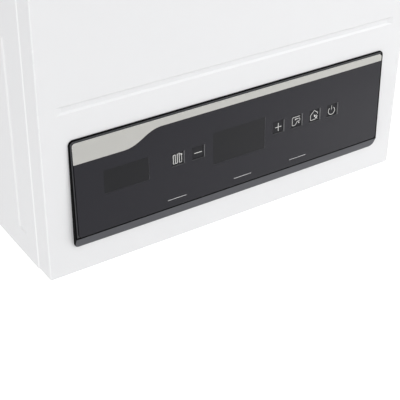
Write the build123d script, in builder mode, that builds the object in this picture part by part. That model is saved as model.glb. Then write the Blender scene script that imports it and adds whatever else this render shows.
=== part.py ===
from build123d import *
import os
from math import atan2, cos, degrees, radians, sin, tan

os.makedirs("parts", exist_ok=True)

# A wall-hung, fan-flued combi boiler, in millimetres.
# X runs along the casing's width, Y points into the wall, Z is up.
# The origin lies on the wall plane, on the casing's centre line, at the cover's lower edge.

# ---------------------------------------------------------------- casing sizes
case_width = 410.0
case_height = 720.0
case_depth = 320.0          # wall to the cover's front face
sheet = 1.0                 # painted sheet of the casing
frame_sheet = 1.5           # galvanised sheet of the frame
seat = 0.3                  # gap where two bent sheets meet without touching
seam = 0.5                  # visible joint between cover and side panel
cover_flange = 22.6         # depth of the cover's folded rim
cover_edge_radius = 1.2
side_drop = 1.0             # side panels hang this much lower than the cover
side_return = 12.0          # fold behind the cover's seam
side_bend_radius = 3.0

groove_low = 165.2          # horizontal groove pressed into the cover
groove_high = 173.2
groove_end_margin = 15.5
groove_depth = 1.3
groove_slope = 2.0          # width of its sloping wall
groove_end_slope = 7.0      # the groove fades out over this length

channel_front = 48.0        # vertical channel in each side panel, from the front face
channel_rear = 63.0
channel_low = 24.5
channel_high = 219.0
channel_depth = 1.3
channel_slope = 1.6

# ---------------------------------------------------------------- frame sizes
frame_step = 12.0           # room behind the frame for the wall bracket
frame_foot = 30.0           # width of the wall flanges
frame_wing = 60.0           # depth of the wings that carry the side panels
foot_rail = 26.0            # height of the lower wall rail

bracket_end_gap = 9.0       # between the bracket's ends and the frame's wall flanges
bracket_height = 46.0
bracket_sheet = 3.0
bracket_drop = 38.0         # casing top to the bracket's centre
bracket_hole_radius = 4.5
bracket_hole_margin = 25.0  # screw hole to the bracket's end
hook_width = 40.0
hook_spacing = 180.0
hook_lip = 9.0

# ---------------------------------------------------------------- control panel sizes
panel_width = 358.6
panel_low = 28.0            # lower edge at its ends
panel_bow = 1.0             # the lower edge bows down by this much
panel_top = 139.1
panel_corner = 5.0
panel_lip = 1.6             # the bezel's face stands this proud at the top edge
panel_tilt = 2.2            # degrees, the face looks slightly upwards
panel_edge_radius = 0.7     # rounding of the bezel's outer edge
chin_height = 11.0          # sloping band below the glass
chin_edge = 0.5             # thickness of the chin's lower edge
rim_side = 2.7              # bezel left of and right of the glass
rim_top = 2.9
rim_low = 1.9
neck_inset = 1.8            # the bezel's neck is this much smaller than its face
neck_inset_low = 7.0        # the same at the lower edge, behind the chin
neck_wall = 2.0
neck_clearance = 0.5        # between the neck and the hole in the cover
glass_thickness = 2.2
glass_clearance = 0.25
glass_corner = 3.0
glass_edge_radius = 0.3
glass_rise = 0.95           # glass stands this far above the rim
glass_ledge = 3.0           # width of the ledge that carries the glass
ledge_thickness = 2.0

wave_left_drop = 20.8       # height of the silver band at its left end
wave_right_drop = 7.5       # height of the silver band right of the wave
wave_start = 50.0           # from the glass's left edge to the start of the wave
wave_run = 41.0             # length of the wave
wave_pocket = 0.8
wave_thickness = 1.0
wave_clearance = 0.1

window_depth_below_top = 49.3
gauge_window_width = 47.0
gauge_window_height = 24.0
gauge_window_x = -124.5
display_width = 61.0
display_height = 34.0
display_shift = -1.5        # the display sits this much lower than the keys' row
window_clearance = 0.1
window_sink = 0.1

key_width = 13.6
key_height = 13.0
key_clearance = 0.3
key_sink = 1.4              # the keys lie below the glass
key_thickness = 2.4
key_corner = 1.0
key_stem_radius = 2.5
key_stem_length = 3.0
key_travel = 0.8
key_inner_x = 47.0          # the two inner keys stand this far from the middle
key_pitch = 22.7

board_thickness = 1.6
board_gap = key_travel + 0.4    # stem to the switch below it, at rest
switch_size = 6.0
switch_height = 3.4
board_margin = 9.0
board_foot = 8.0            # the bezel's feet reach this far over the board's corners

# ---------------------------------------------------------------- control box sizes
box_wall = 2.0
box_inset = 19.0            # casing side to the control box
box_low = 22.0
box_high = 152.0
box_depth = 46.0
box_ear = 11.0
ear_height = 18.0
ear_inset = 20.0            # box's ends to the ears' centres
lead_slot_length = 60.0     # openings for the leads to the display board
lead_slot_height = 12.0
vent_length = 24.0          # openings along the lid's lower edge
vent_width = 8.0
vent_pitch = 70.0
vent_rise = 14.0
lid_thickness = 2.0
pcb_margin = 8.0

# ---------------------------------------------------------------- sealed chamber sizes
chamber_bottom = 232.0
chamber_clearance = 31.0    # chamber's front face to the cover's front face
chamber_front = case_depth - chamber_clearance
bay_depth = 84.0            # wall to the partition, the bay holds the vessel
chamber_lip = 10.0
cover_plate_bead = 3.0

vessel_width = 340.0
vessel_height = 440.0
vessel_depth = 64.0
vessel_rim = 5.0
vessel_rim_thickness = 3.0
vessel_sheet = 1.2
vessel_port_radius = 5.0
membrane_thickness = 1.2    # rubber wall between the vessel's gas and water rooms

# ---------------------------------------------------------------- burner and heat exchanger sizes
comb_width = 250.0
comb_bottom = 262.0
comb_height = 208.0
comb_gap = 24.0             # combustion box to the partition behind it
comb_front_gap = 34.0       # combustion box to the chamber's front, room for the manifold
comb_sheet = 1.2
board_insulation = 12.0
insulation_low = 84.0       # above the combustion box's lower edge
comb_foot_width = 24.0      # four feet hold the combustion box on the partition
comb_foot_height = 12.0
comb_foot_inset = 30.0
electrode_radius = 4.0
electrode_places = [-70.0, -48.0, 70.0]
electrode_reach = 16.0      # the ceramic reaches this far into the box
electrode_length = 28.0
electrode_wire_radius = 1.2
electrode_wire_length = 24.0
electrode_flange_width = 18.0
electrode_flange_thickness = 3.0

bar_count = 12
bar_width = 9.0
bar_height = 60.0
bar_port_width = 1.2
bar_port_pitch = 9.0
venturi_radius = 6.5
bar_sheet = 0.8

manifold_radius = 9.0
manifold_gap = 11.0         # combustion box to the manifold
nozzle_radius = 3.0
manifold_inset = 6.0        # combustion box's side to the manifold's end
manifold_bracket = 4.0
manifold_socket = 12.0      # the gas pipe's end sits this deep in the manifold's foot

exchanger_height = 62.0
fin_count = 36
fin_thickness = 0.8
fin_slot_depth = 20.0
exchanger_tube_radius = 8.0
exchanger_tube_count = 5
end_plate = 2.0

# ---------------------------------------------------------------- fan and flue sizes
hood_rise = 40.0
plenum_width = 118.0
plenum_depth = 28.0
plenum_rim = 8.0            # plenum above the fan's inlet
fan_gap = 2.0               # volute to the hood below it
fan_width = 42.0
fan_sheet = 1.5
volute_start = 47.0
volute_end = 62.0
fan_inlet_radius = 30.0
impeller_radius = 41.0
impeller_width = 26.0
impeller_blades = 18
blade_thickness = 1.2
fan_shaft_radius = 3.0
shaft_clearance = 0.05
fan_motor_radius = 35.0
fan_motor_length = 46.0
motor_arm_width = 8.0       # three arms hold the motor on the volute
motor_arm_thickness = 3.0
motor_lug_radius = 5.0
motor_edge_radius = 4.0
winding_gap = 5.0           # arms to the winding pack
winding_width = 18.0
outlet_rise = 20.0          # volute's top to the round spigot
spigot_gap = 4.0            # spigot's end to the chamber's top

flue_radius = 50.0          # air tube of the concentric flue, outside
exhaust_radius = 30.0       # exhaust tube, inside
flue_wall = 1.5
flue_flange = 78.0
flue_flange_thickness = 3.0
flue_collar_height = 44.0
flange_screw_inset = 8.0
gasket_thickness = 3.0

# ---------------------------------------------------------------- hydraulic sizes
pipe_row = 120.0            # wall to the row of pipe tails
tail_pitch = 65.0
tail_drop = 38.0            # tails end this far below the casing
heating_tail_radius = 13.2  # G 3/4 male thread
water_tail_radius = 10.5    # G 1/2 male thread
tail_nut = 3.0              # nut, beyond the thread's radius
tail_nut_height = 12.0
tail_top = 28.0
tail_wall = 3.0
heating_pipe_radius = 9.0
heating_pipe_wall = 1.0
riser_x = 160.0

block_radius = 16.0
water_block_radius = 13.0
port_radius = 10.0

plate_stack_width = 190.0
plate_stack_height = 76.0
plate_stack_depth = 62.0
stack_corner = 14.0
plate_stack_low = 62.0
plate_count = 14
plate_groove = 1.6
plate_stack_wall = 4.0      # outer wall of the brazed stack, around its water rooms

stem_radius = 2.5
stem_travel = 8.0
valve_disc_radius = 9.0
valve_chamber_radius = 11.0
diverter_size = 36.0
diverter_height = 52.0

pump_axis_height = 122.0
pump_radius = 42.0
pump_width = 40.0
pump_chamber_radius = 33.0
pump_impeller_radius = 30.0
pump_impeller_width = 12.0
pump_shaft_radius = 4.0
pump_motor_radius = 43.0
pump_motor_length = 62.0
vent_radius = 11.0
vent_height = 44.0

turbine_radius = 8.0
turbine_height = 14.0
sensor_height = 40.0

gas_valve_width = 62.0
gas_valve_depth = 78.0
gas_valve_height = 96.0
gas_pipe_radius = 8.0

gland_radius = 10.0
gland_bore = 4.0
gland_hex_height = 5.0      # hexagon below the plate
gland_cap_height = 9.0      # domed cap below the hexagon
gland_cap_draft = 12.0      # degrees
gland_thread_height = 8.0   # above the plate
gland_nut_height = 4.0
gland_x = 172.0
gland_row = 225.0

screw_radius = 2.0
screw_head_radius = 4.2
screw_head_height = 2.4
screw_length = 10.0
screw_x = 150.0

# ---------------------------------------------------------------- places worked out from the sizes
half_width = case_width / 2
inner_half = half_width - sheet
side_length = case_depth - cover_flange - seam
front_plane = Plane.XZ.offset(case_depth)
plate_y = frame_step + frame_sheet              # front of the frame's plate
carcass_half = inner_half - frame_sheet - seat  # what fits between the frame's wings
top_z = case_height - sheet
carcass_front = side_length - sheet             # behind the side panels' folds


def rect_sketch(plane, x_low, x_high, y_low, y_high):
    """A rectangle given by its limits in the plane's own axes."""
    with BuildSketch(plane) as sketch:
        with Locations(((x_low + x_high) / 2, (y_low + y_high) / 2)):
            Rectangle(x_high - x_low, y_high - y_low)
    return sketch.sketch


def upright(place, radius, low, high, mode=Mode.ADD):
    """A round column, or a bore with Mode.SUBTRACT."""
    with BuildSketch(Plane.XY.offset(low)) as disc:
        with Locations(place):
            Circle(radius)
    extrude(disc.sketch, amount=high - low, mode=mode)


def across(x_low, x_high, z, radius):
    """A round duct along X in the row of the tails."""
    with BuildSketch(Plane.YZ.offset(x_low)) as disc:
        with Locations((-pipe_row, z)):
            Circle(radius)
    extrude(disc.sketch, amount=x_high - x_low)


def forward(x, z, radius, rear, front, mode=Mode.ADD):
    """A round boss, or a bore, that points out of the wall."""
    with BuildSketch(Plane.XZ.offset(rear)) as disc:
        with Locations((x, z)):
            Circle(radius)
    extrude(disc.sketch, amount=front - rear, mode=mode)


# ================================================================ casing
# Front cover: a folded tray with a pressed groove and the hole for the control panel.
groove_half = half_width - groove_end_margin
neck_half = panel_width / 2 - neck_inset
neck_low = panel_low + neck_inset_low
neck_high = panel_top - neck_inset
neck_mid = (neck_low + neck_high) / 2

with BuildPart() as front_cover:
    with BuildSketch(front_plane):
        with Locations((0, case_height / 2)):
            Rectangle(case_width, case_height)
    extrude(amount=-cover_flange)
    front_edges = front_cover.faces().sort_by(Axis.Y)[0].edges()
    fillet(front_edges + front_cover.edges().filter_by(Axis.Y), cover_edge_radius)
    offset(amount=-sheet, openings=front_cover.faces().sort_by(Axis.Y)[-1])
    extrude(rect_sketch(front_plane.offset(-sheet), -groove_half - sheet, groove_half + sheet,
                        groove_low - sheet, groove_high + sheet), amount=-groove_depth)
    groove_mouth = rect_sketch(front_plane, -groove_half, groove_half, groove_low, groove_high)
    groove_floor = rect_sketch(front_plane.offset(-groove_depth),
                                    -groove_half + groove_end_slope, groove_half - groove_end_slope,
                                    groove_low + groove_slope, groove_high - groove_slope)
    loft([groove_mouth, groove_floor], mode=Mode.SUBTRACT)
    with BuildSketch(front_plane):
        with Locations((0, neck_mid)):
            RectangleRounded(2 * (neck_half + neck_clearance), neck_high - neck_low + 2 * neck_clearance,
                             panel_corner)
    extrude(amount=-2 * sheet, mode=Mode.SUBTRACT)
    with BuildSketch(Plane.XY):
        with Locations((-screw_x, -case_depth + cover_flange / 2), (screw_x, -case_depth + cover_flange / 2)):
            Circle(screw_radius + seat)
    extrude(amount=sheet, mode=Mode.SUBTRACT)
front_cover.part.label = "front_cover"
export_step(front_cover.part, "parts/front_cover.step")

# Side panels: a flat sheet with a fold behind the seam and one pressed vertical channel.
channel_y_front = -case_depth + channel_front
channel_y_rear = -case_depth + channel_rear

with BuildPart() as left_side_panel:
    with BuildSketch(Plane.XY.offset(-side_drop)) as fold:
        with Locations((-half_width, 0)):
            Rectangle(sheet, side_length, align=(Align.MIN, Align.MAX))
        with Locations((-half_width, -side_length)):
            Rectangle(side_return, sheet, align=(Align.MIN, Align.MIN))
        fillet(fold.vertices().sort_by(Axis.Y)[:2].sort_by(Axis.X)[0], min(side_bend_radius, 0.95 * side_return))
    extrude(amount=case_height + side_drop)
    extrude(rect_sketch(Plane.YZ.offset(-half_width + sheet), channel_y_front - sheet, channel_y_rear + sheet,
                        channel_low - sheet, channel_high + sheet), amount=channel_depth)
    channel_mouth = rect_sketch(Plane.YZ.offset(-half_width), channel_y_front, channel_y_rear,
                                channel_low, channel_high)
    channel_floor = rect_sketch(Plane.YZ.offset(-half_width + channel_depth),
                                channel_y_front + channel_slope, channel_y_rear - channel_slope,
                                channel_low + channel_slope, channel_high - channel_slope)
    loft([channel_mouth, channel_floor], mode=Mode.SUBTRACT)
left_side_panel.part.label = "left_side_panel"
export_step(left_side_panel.part, "parts/left_side_panel.step")

with BuildPart() as right_side_panel:
    mirror(left_side_panel.part, about=Plane.YZ)
right_side_panel.part.label = "right_side_panel"
export_step(right_side_panel.part, "parts/right_side_panel.step")

# The flue stands over the fan's outlet.
comb_rear = bay_depth + sheet + comb_gap                  # wall to the combustion box's rear face
comb_front = chamber_front - comb_front_gap
comb_depth = comb_front - comb_rear
comb_mid = comb_rear + comb_depth / 2
plenum_rear = comb_rear
plenum_front = plenum_rear + plenum_depth
flue_row = plenum_front + fan_width / 2                   # wall to the flue's axis
flue_place = (0, -flue_row)

with BuildPart() as top_panel:
    extrude(rect_sketch(Plane.XY.offset(top_z), -inner_half, inner_half, -carcass_front, 0), amount=sheet)
    extrude(rect_sketch(Plane.XY.offset(top_z), -carcass_half, carcass_half,
                        -carcass_front, -carcass_front + sheet), amount=-2 * side_return)
    with BuildSketch(Plane.XY.offset(top_z)):
        with Locations(flue_place):
            Circle(flue_radius + 2 * sheet)
    extrude(amount=sheet, mode=Mode.SUBTRACT)
top_panel.part.label = "top_panel"
export_step(top_panel.part, "parts/top_panel.step")

# Back frame: a pressed plate that stands off the wall, with wall flanges, a foot rail and two wings.
frame_low = -side_drop
frame_height = top_z - frame_low
web_x = inner_half - frame_foot
bracket_z = case_height - bracket_drop
bracket_length = 2 * (web_x - bracket_end_gap)
bracket_hole_x = bracket_length / 2 - bracket_hole_margin
hook_places = [(-hook_spacing / 2, bracket_z), (hook_spacing / 2, bracket_z)]
hook_top = bracket_z + bracket_sheet / 2

with BuildPart() as back_frame:
    plan_plane = Plane.XY.offset(frame_low)
    extrude(rect_sketch(plan_plane, -web_x - frame_sheet, web_x + frame_sheet, -plate_y, -frame_step),
            amount=frame_height)
    for side in (-1, 1):
        web = sorted((side * web_x, side * (web_x + frame_sheet)))
        foot = sorted((side * web_x, side * inner_half))
        wing = sorted((side * (inner_half - frame_sheet), side * inner_half))
        extrude(rect_sketch(plan_plane, *web, -plate_y, 0), amount=frame_height)
        extrude(rect_sketch(plan_plane, *foot, -frame_sheet, 0), amount=frame_height)
        extrude(rect_sketch(plan_plane, *wing, -frame_wing, 0), amount=frame_height)
    extrude(rect_sketch(plan_plane, -web_x, web_x, -frame_sheet, 0), amount=foot_rail)
    extrude(rect_sketch(Plane.XY.offset(frame_low + foot_rail - frame_sheet), -web_x, web_x, -plate_y, 0),
            amount=frame_sheet)
    with BuildSketch(Plane.XZ.offset(frame_step)):
        with Locations(*[(x, hook_top + hook_lip / 2 - bracket_sheet - seat) for x, z in hook_places]):
            Rectangle(hook_width + 2 * seat, hook_lip + bracket_sheet)
    extrude(amount=frame_sheet, mode=Mode.SUBTRACT)
back_frame.part.label = "back_frame"
export_step(back_frame.part, "parts/back_frame.step")

# Wall bracket: a strip screwed to the wall, with two hooks that carry the frame.
with BuildPart() as wall_bracket:
    with BuildSketch(Plane.XZ):
        with Locations((0, bracket_z)):
            RectangleRounded(bracket_length, bracket_height, bracket_sheet)
            with Locations((-bracket_hole_x, 0), (bracket_hole_x, 0)):
                Circle(bracket_hole_radius, mode=Mode.SUBTRACT)
    extrude(amount=bracket_sheet)
    for x, z in hook_places:
        arm_low = hook_top - bracket_sheet
        extrude(rect_sketch(Plane.XY.offset(arm_low), x - hook_width / 2, x + hook_width / 2,
                            -plate_y - seat - bracket_sheet, 0), amount=bracket_sheet)
        extrude(rect_sketch(Plane.XY.offset(arm_low), x - hook_width / 2, x + hook_width / 2,
                            -plate_y - seat - bracket_sheet, -plate_y - seat), amount=hook_lip)
wall_bracket.part.label = "wall_bracket"
export_step(wall_bracket.part, "parts/wall_bracket.step")

# Bottom plate: a tray between the frame's wings, with holes for pipes, gland, relief outlet and knobs.
tail_places = [(tail_pitch * i, -pipe_row) for i in (-2, -1, 0, 1, 2)]
tail_radii = [heating_tail_radius, water_tail_radius, heating_tail_radius, water_tail_radius, heating_tail_radius]
relief_reach = 18.0             # return block to the relief valve's outlet
relief_place = (2 * tail_pitch, -pipe_row - block_radius - relief_reach)
relief_outlet_radius = 7.5
relief_wall = 2.5
filling_place = (1.5 * tail_pitch, -pipe_row)
filling_stem_radius = 3.0
gland_place = (gland_x, -gland_row)
tab_depth = cover_flange - 4 * sheet

with BuildPart() as bottom_plate:
    extrude(rect_sketch(Plane.XY, -carcass_half, carcass_half, -carcass_front, -plate_y), amount=sheet)
    extrude(rect_sketch(Plane.XY, -carcass_half, carcass_half, -carcass_front, -carcass_front + sheet),
            amount=side_return)
    with BuildSketch(Plane.XY.offset(sheet)):
        for x in (-screw_x, screw_x):
            with Locations((x, -carcass_front + sheet)):
                Rectangle(2 * side_return, tab_depth + sheet, align=(Align.CENTER, Align.MAX))
    extrude(amount=sheet)
    with BuildSketch(Plane.XY):
        for place, radius in zip(tail_places, tail_radii):
            with Locations(place):
                Circle(radius + tail_nut + 2 * seat)
        with Locations(relief_place):
            Circle(relief_outlet_radius + 2 * seat)
        with Locations(filling_place):
            Circle(filling_stem_radius + 2 * seat)
        with Locations(gland_place):
            Circle(gland_radius * 0.7)
        with Locations((-screw_x, -case_depth + cover_flange / 2), (screw_x, -case_depth + cover_flange / 2)):
            Circle(screw_radius)
    extrude(amount=2 * sheet, mode=Mode.SUBTRACT)
bottom_plate.part.label = "bottom_plate"
export_step(bottom_plate.part, "parts/bottom_plate.step")

# Two screws hold the cover's lower rim to the bottom plate's tabs.
with BuildPart() as cover_screws:
    for x in (-screw_x, screw_x):
        screw_place = (x, -case_depth + cover_flange / 2)
        with BuildSketch(Plane.XY):
            with Locations(screw_place):
                Circle(screw_head_radius)
        extrude(amount=-screw_head_height)
        with BuildSketch(Plane.XY.offset(-screw_head_height)):
            with Locations(screw_place):
                RegularPolygon(screw_radius * 0.7, 6)
        extrude(amount=screw_head_height / 2, mode=Mode.SUBTRACT)
        with BuildSketch(Plane.XY):
            with Locations(screw_place):
                Circle(screw_radius - 0.05)
        extrude(amount=screw_length)
cover_screws.part.label = "cover_screws"
export_step(cover_screws.part, "parts/cover_screws.step")

# ================================================================ control panel
# The face plane leans back by the tilt. Its own Y runs up the glass, its own Z out of it.
lean = radians(panel_tilt)
face_plane = Plane(origin=(0, -case_depth - panel_lip, panel_top), x_dir=(1, 0, 0),
                   z_dir=(0, -cos(lean), sin(lean)))
panel_height = panel_top - panel_low
chin_proud = panel_lip + (panel_height - chin_height) * tan(lean)
chin_angle = degrees(atan2(chin_proud - chin_edge, chin_height + panel_bow))
chin_plane = Plane(origin=(0, -case_depth - chin_edge, panel_low - panel_bow), x_dir=(1, 0, 0),
                   z_dir=(0, -cos(radians(chin_angle)), -sin(radians(chin_angle))))
glass_half = panel_width / 2 - rim_side
glass_top = -rim_top
glass_low = -(panel_height - chin_height - rim_low) / cos(lean)
glass_mid = (glass_top + glass_low) / 2
row_y = -window_depth_below_top
display_y = row_y + display_shift
keys = {
    "key_radiator": -key_inner_x - key_pitch,
    "key_minus": -key_inner_x,
    "key_plus": key_inner_x,
    "key_tap": key_inner_x + key_pitch,
    "key_house": key_inner_x + 2 * key_pitch,
    "key_power": key_inner_x + 3 * key_pitch,
}
key_places = [(x, row_y) for x in keys.values()]

# Depths below the face plane, from the glass to the board.
glass_front = glass_rise
glass_back = glass_front - glass_thickness
key_front = glass_front - key_sink
key_back = key_front - key_thickness
stem_end = key_back - key_stem_length
switch_top = stem_end - board_gap
board_front = switch_top - switch_height
board_half = glass_half - board_margin
board_low = glass_low + board_margin
board_high = glass_top - board_margin
box_front = side_length - sheet - 1.5         # wall to the control box's front face


def panel_outline(grow):
    """The panel's outline on the cover's front face: three straight sides and a bowed lower edge."""
    left, right = -panel_width / 2 - grow, panel_width / 2 + grow
    with BuildSketch(front_plane) as outline:
        with BuildLine():
            Polyline((left, panel_low), (left, panel_top), (right, panel_top), (right, panel_low))
            ThreePointArc((right, panel_low), (0, panel_low - panel_bow), (left, panel_low))
        make_face()
        fillet(outline.vertices(), panel_corner)
    return outline.sketch


with BuildPart() as panel_bezel:
    extrude(panel_outline(0), amount=3 * chin_proud)
    split(bisect_by=face_plane, keep=Keep.BOTTOM)
    split(bisect_by=chin_plane, keep=Keep.BOTTOM)
    face_edges = panel_bezel.faces().filter_by(face_plane).edges()
    chin_edges = panel_bezel.faces().filter_by(chin_plane).edges()
    crease = [e for e in face_edges if e in chin_edges]
    fillet([e for e in face_edges + chin_edges.filter_by(GeomType.LINE) if e not in crease], panel_edge_radius)
    with BuildSketch(front_plane):
        with Locations((0, neck_mid)):
            RectangleRounded(2 * neck_half, neck_high - neck_low, panel_corner)
    extrude(amount=-(case_depth - box_front))
    with BuildSketch(face_plane):
        with Locations((0, glass_mid)):
            RectangleRounded(2 * (glass_half + glass_clearance), glass_top - glass_low + 2 * glass_clearance,
                             glass_corner)
    extrude(amount=glass_back, mode=Mode.SUBTRACT)
    with BuildSketch(face_plane.offset(glass_back)):
        with Locations((0, glass_mid)):
            RectangleRounded(2 * (glass_half - glass_ledge), glass_top - glass_low - 2 * glass_ledge,
                             glass_corner)
    extrude(amount=-(case_depth - box_front) - 2 * chin_proud, mode=Mode.SUBTRACT)
    with BuildSketch(face_plane.offset(glass_back - ledge_thickness)):
        with Locations((0, glass_mid)):
            RectangleRounded(2 * (neck_half - neck_wall), glass_top - glass_low - 2 * (neck_wall - neck_inset),
                             glass_corner)
    extrude(amount=-(case_depth - box_front) - 2 * chin_proud, mode=Mode.SUBTRACT)
    for x in (-board_half + board_foot, board_half - board_foot):
        outer_x = (neck_half - neck_wall / 2) * (1 if x > 0 else -1)
        for y in (board_low + board_foot, board_high - board_foot):
            extrude(rect_sketch(face_plane.offset(glass_back - ledge_thickness), *sorted((x, outer_x)),
                                y - board_foot / 2, y + board_foot / 2),
                    amount=board_front - glass_back + ledge_thickness)
panel_bezel.part.label = "panel_bezel"
export_step(panel_bezel.part, "parts/panel_bezel.step")


def wave_outline(shrink):
    """The silver band: full height on the left, an S-shaped step down, then a narrow strip."""
    left, right, high = -glass_half + shrink, glass_half - shrink, glass_top - shrink
    low_left = glass_top - wave_left_drop + shrink
    low_right = glass_top - wave_right_drop + shrink
    start = (-glass_half + wave_start, low_left)
    end = (-glass_half + wave_start + wave_run, low_right)
    with BuildSketch(face_plane.offset(glass_front - wave_pocket)) as outline:
        with BuildLine():
            Line((left, low_left), start)
            Spline(start, end, tangents=((1, 0), (1, 0)))
            Line(end, (right, low_right))
            Line((right, low_right), (right, high - glass_corner))
            RadiusArc((right, high - glass_corner), (right - glass_corner, high), -glass_corner)
            Line((right - glass_corner, high), (left + glass_corner, high))
            RadiusArc((left + glass_corner, high), (left, high - glass_corner), -glass_corner)
            Line((left, high - glass_corner), (left, low_left))
        make_face()
    return outline.sketch


windows = [
    ("gauge_window", (gauge_window_x, row_y), gauge_window_width, gauge_window_height),
    ("display_window", (0, display_y), display_width, display_height),
]

with BuildPart() as fascia_glass:
    with BuildSketch(face_plane.offset(glass_back)):
        with Locations((0, glass_mid)):
            RectangleRounded(2 * glass_half, glass_top - glass_low, glass_corner)
        with Locations(*key_places):
            Rectangle(key_width + 2 * key_clearance, key_height + 2 * key_clearance, mode=Mode.SUBTRACT)
        for name, place, width, height in windows:
            with Locations(place):
                Rectangle(width, height, mode=Mode.SUBTRACT)
    extrude(amount=glass_thickness)
    fillet(fascia_glass.faces().filter_by(face_plane).sort_by(Axis.Y)[0].outer_wire().edges(), glass_edge_radius)
    extrude(wave_outline(0), amount=2 * wave_pocket, mode=Mode.SUBTRACT)
fascia_glass.part.label = "fascia_glass"
export_step(fascia_glass.part, "parts/fascia_glass.step")

with BuildPart() as wave_trim:
    extrude(wave_outline(wave_clearance), amount=wave_thickness)
    fillet(wave_trim.faces().sort_by(Axis.Y)[0].edges(), wave_thickness - wave_pocket)
wave_trim.part.label = "wave_trim"
export_step(wave_trim.part, "parts/wave_trim.step")

for name, place, width, height in windows:
    with BuildPart() as window:
        with BuildSketch(face_plane.offset(glass_back)):
            with Locations(place):
                Rectangle(width - 2 * window_clearance, height - 2 * window_clearance)
        extrude(amount=glass_thickness - window_sink)
    window.part.label = name
    export_step(window.part, f"parts/{name}.step")

# Keys: a square cap in its well, with a stem that reaches for the switch behind it.
for name, x in keys.items():
    with BuildPart() as key:
        with BuildSketch(face_plane.offset(key_back)):
            with Locations((x, row_y)):
                RectangleRounded(key_width, key_height, key_corner)
        extrude(amount=key_thickness)
        with BuildSketch(face_plane.offset(key_back)):
            with Locations((x, row_y)):
                Circle(key_stem_radius)
        extrude(amount=-key_stem_length)
    key.part.label = name
    export_step(key.part, f"parts/{name}.step")

# Display board: circuit board, the two display modules behind the windows, and a switch for each key.
with BuildPart() as display_board:
    with BuildSketch(face_plane.offset(board_front)):
        with Locations((0, glass_mid)):
            Rectangle(2 * board_half, board_high - board_low)
    extrude(amount=-board_thickness)
    with BuildSketch(face_plane.offset(board_front)):
        with Locations(*key_places):
            Rectangle(switch_size, switch_size)
    extrude(amount=switch_height * 0.6)
    with BuildSketch(face_plane.offset(board_front)):
        with Locations(*key_places):
            Circle(key_stem_radius * 0.7)
    extrude(amount=switch_height)
    with BuildSketch(face_plane.offset(board_front)):
        for name, place, width, height in windows:
            with Locations(place):
                Rectangle(width + 2 * glass_ledge, height + 2 * glass_ledge)
    extrude(amount=glass_back - board_front - seat)
display_board.part.label = "display_board"
export_step(display_board.part, "parts/display_board.step")

# ================================================================ control box
box_half = half_width - box_inset
box_rear = box_front - box_depth

with BuildPart() as control_box_body:
    extrude(rect_sketch(Plane.XZ.offset(box_rear), -box_half, box_half, box_low, box_high), amount=box_depth)
    fillet(control_box_body.edges().filter_by(Axis.Y), 2 * box_wall)
    offset(amount=-box_wall, openings=control_box_body.faces().sort_by(Axis.Y)[-1])
    with BuildSketch(Plane.XZ.offset(box_front)):
        for side in (-1, 1):
            with Locations(*[(side * (box_half + box_ear / 2), z)
                             for z in (box_low + ear_inset, box_high - ear_inset)]):
                Rectangle(box_ear + box_wall, ear_height)
    extrude(amount=-3 * sheet)
    with BuildSketch(Plane.XZ.offset(box_front)):
        with Locations(*[(x, (box_low + box_high) / 2) for x in (-board_half / 2, board_half / 2)]):
            SlotOverall(lead_slot_length, lead_slot_height)
    extrude(amount=-box_wall, mode=Mode.SUBTRACT)
control_box_body.part.label = "control_box_body"
export_step(control_box_body.part, "parts/control_box_body.step")

with BuildPart() as control_box_lid:
    extrude(rect_sketch(Plane.XZ.offset(box_rear), -box_half, box_half, box_low, box_high),
            amount=-lid_thickness)
    fillet(control_box_lid.edges().filter_by(Axis.Y), 2 * box_wall)
    extrude(rect_sketch(Plane.XZ.offset(box_rear), -box_half + 2 * box_wall + seat, box_half - 2 * box_wall - seat,
                        box_low + 2 * box_wall + seat, box_high - 2 * box_wall - seat), amount=box_wall)
    with BuildSketch(Plane.XZ.offset(box_rear - lid_thickness)):
        with Locations(*[(vent_pitch * i, box_low + vent_rise) for i in (-2, -1, 0, 1, 2)]):
            SlotOverall(vent_length, vent_width)
    extrude(amount=lid_thickness + box_wall, mode=Mode.SUBTRACT)
control_box_lid.part.label = "control_box_lid"
export_step(control_box_lid.part, "parts/control_box_lid.step")

pcb_front = box_front - box_wall - pcb_margin
pcb_low, pcb_high = box_low + box_wall + pcb_margin, box_high - box_wall - pcb_margin
pcb_half = box_half - box_wall - pcb_margin
transformer_width, transformer_height = 46.0, 40.0
relay_width, relay_height, relay_pitch = 20.0, 16.0, 30.0
terminal_width, terminal_height, terminal_pitch = 18.0, 9.0, 22.0
component_depth = 16.0
terminal_depth = 9.0
capacitor_radius = 7.0
capacitor_depth = 20.0
post_radius = 4.0
post_inset = 8.0

with BuildPart() as main_board:
    pcb_plane = Plane.XZ.offset(pcb_front - board_thickness)
    extrude(rect_sketch(pcb_plane, -pcb_half, pcb_half, pcb_low, pcb_high), amount=board_thickness)
    with BuildSketch(pcb_plane):
        with Locations((-pcb_half + post_inset + transformer_width / 2,
                        pcb_high - transformer_height / 2 - 2 * post_inset)):
            Rectangle(transformer_width, transformer_height)
        with Locations(*[(relay_pitch * i, pcb_high - relay_height - post_inset) for i in (-2, -1, 0)]):
            Rectangle(relay_width, relay_height)
    extrude(amount=-component_depth)
    with BuildSketch(pcb_plane):
        with Locations(*[(terminal_pitch * i, pcb_low + terminal_height) for i in range(-5, 6)]):
            Rectangle(terminal_width, terminal_height)
    extrude(amount=-terminal_depth)
    with BuildSketch(pcb_plane):
        with Locations(*[(relay_pitch * i, pcb_high - 4 * capacitor_radius) for i in (2, 3, 4)]):
            Circle(capacitor_radius)
    extrude(amount=-capacitor_depth)
    with BuildSketch(pcb_plane.offset(board_thickness)):
        with Locations(*[(x, z) for x in (-pcb_half + post_inset, pcb_half - post_inset)
                         for z in (pcb_low + post_inset, pcb_high - post_inset)]):
            Circle(post_radius)
    extrude(amount=pcb_margin)
main_board.part.label = "main_board"
export_step(main_board.part, "parts/main_board.step")

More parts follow.
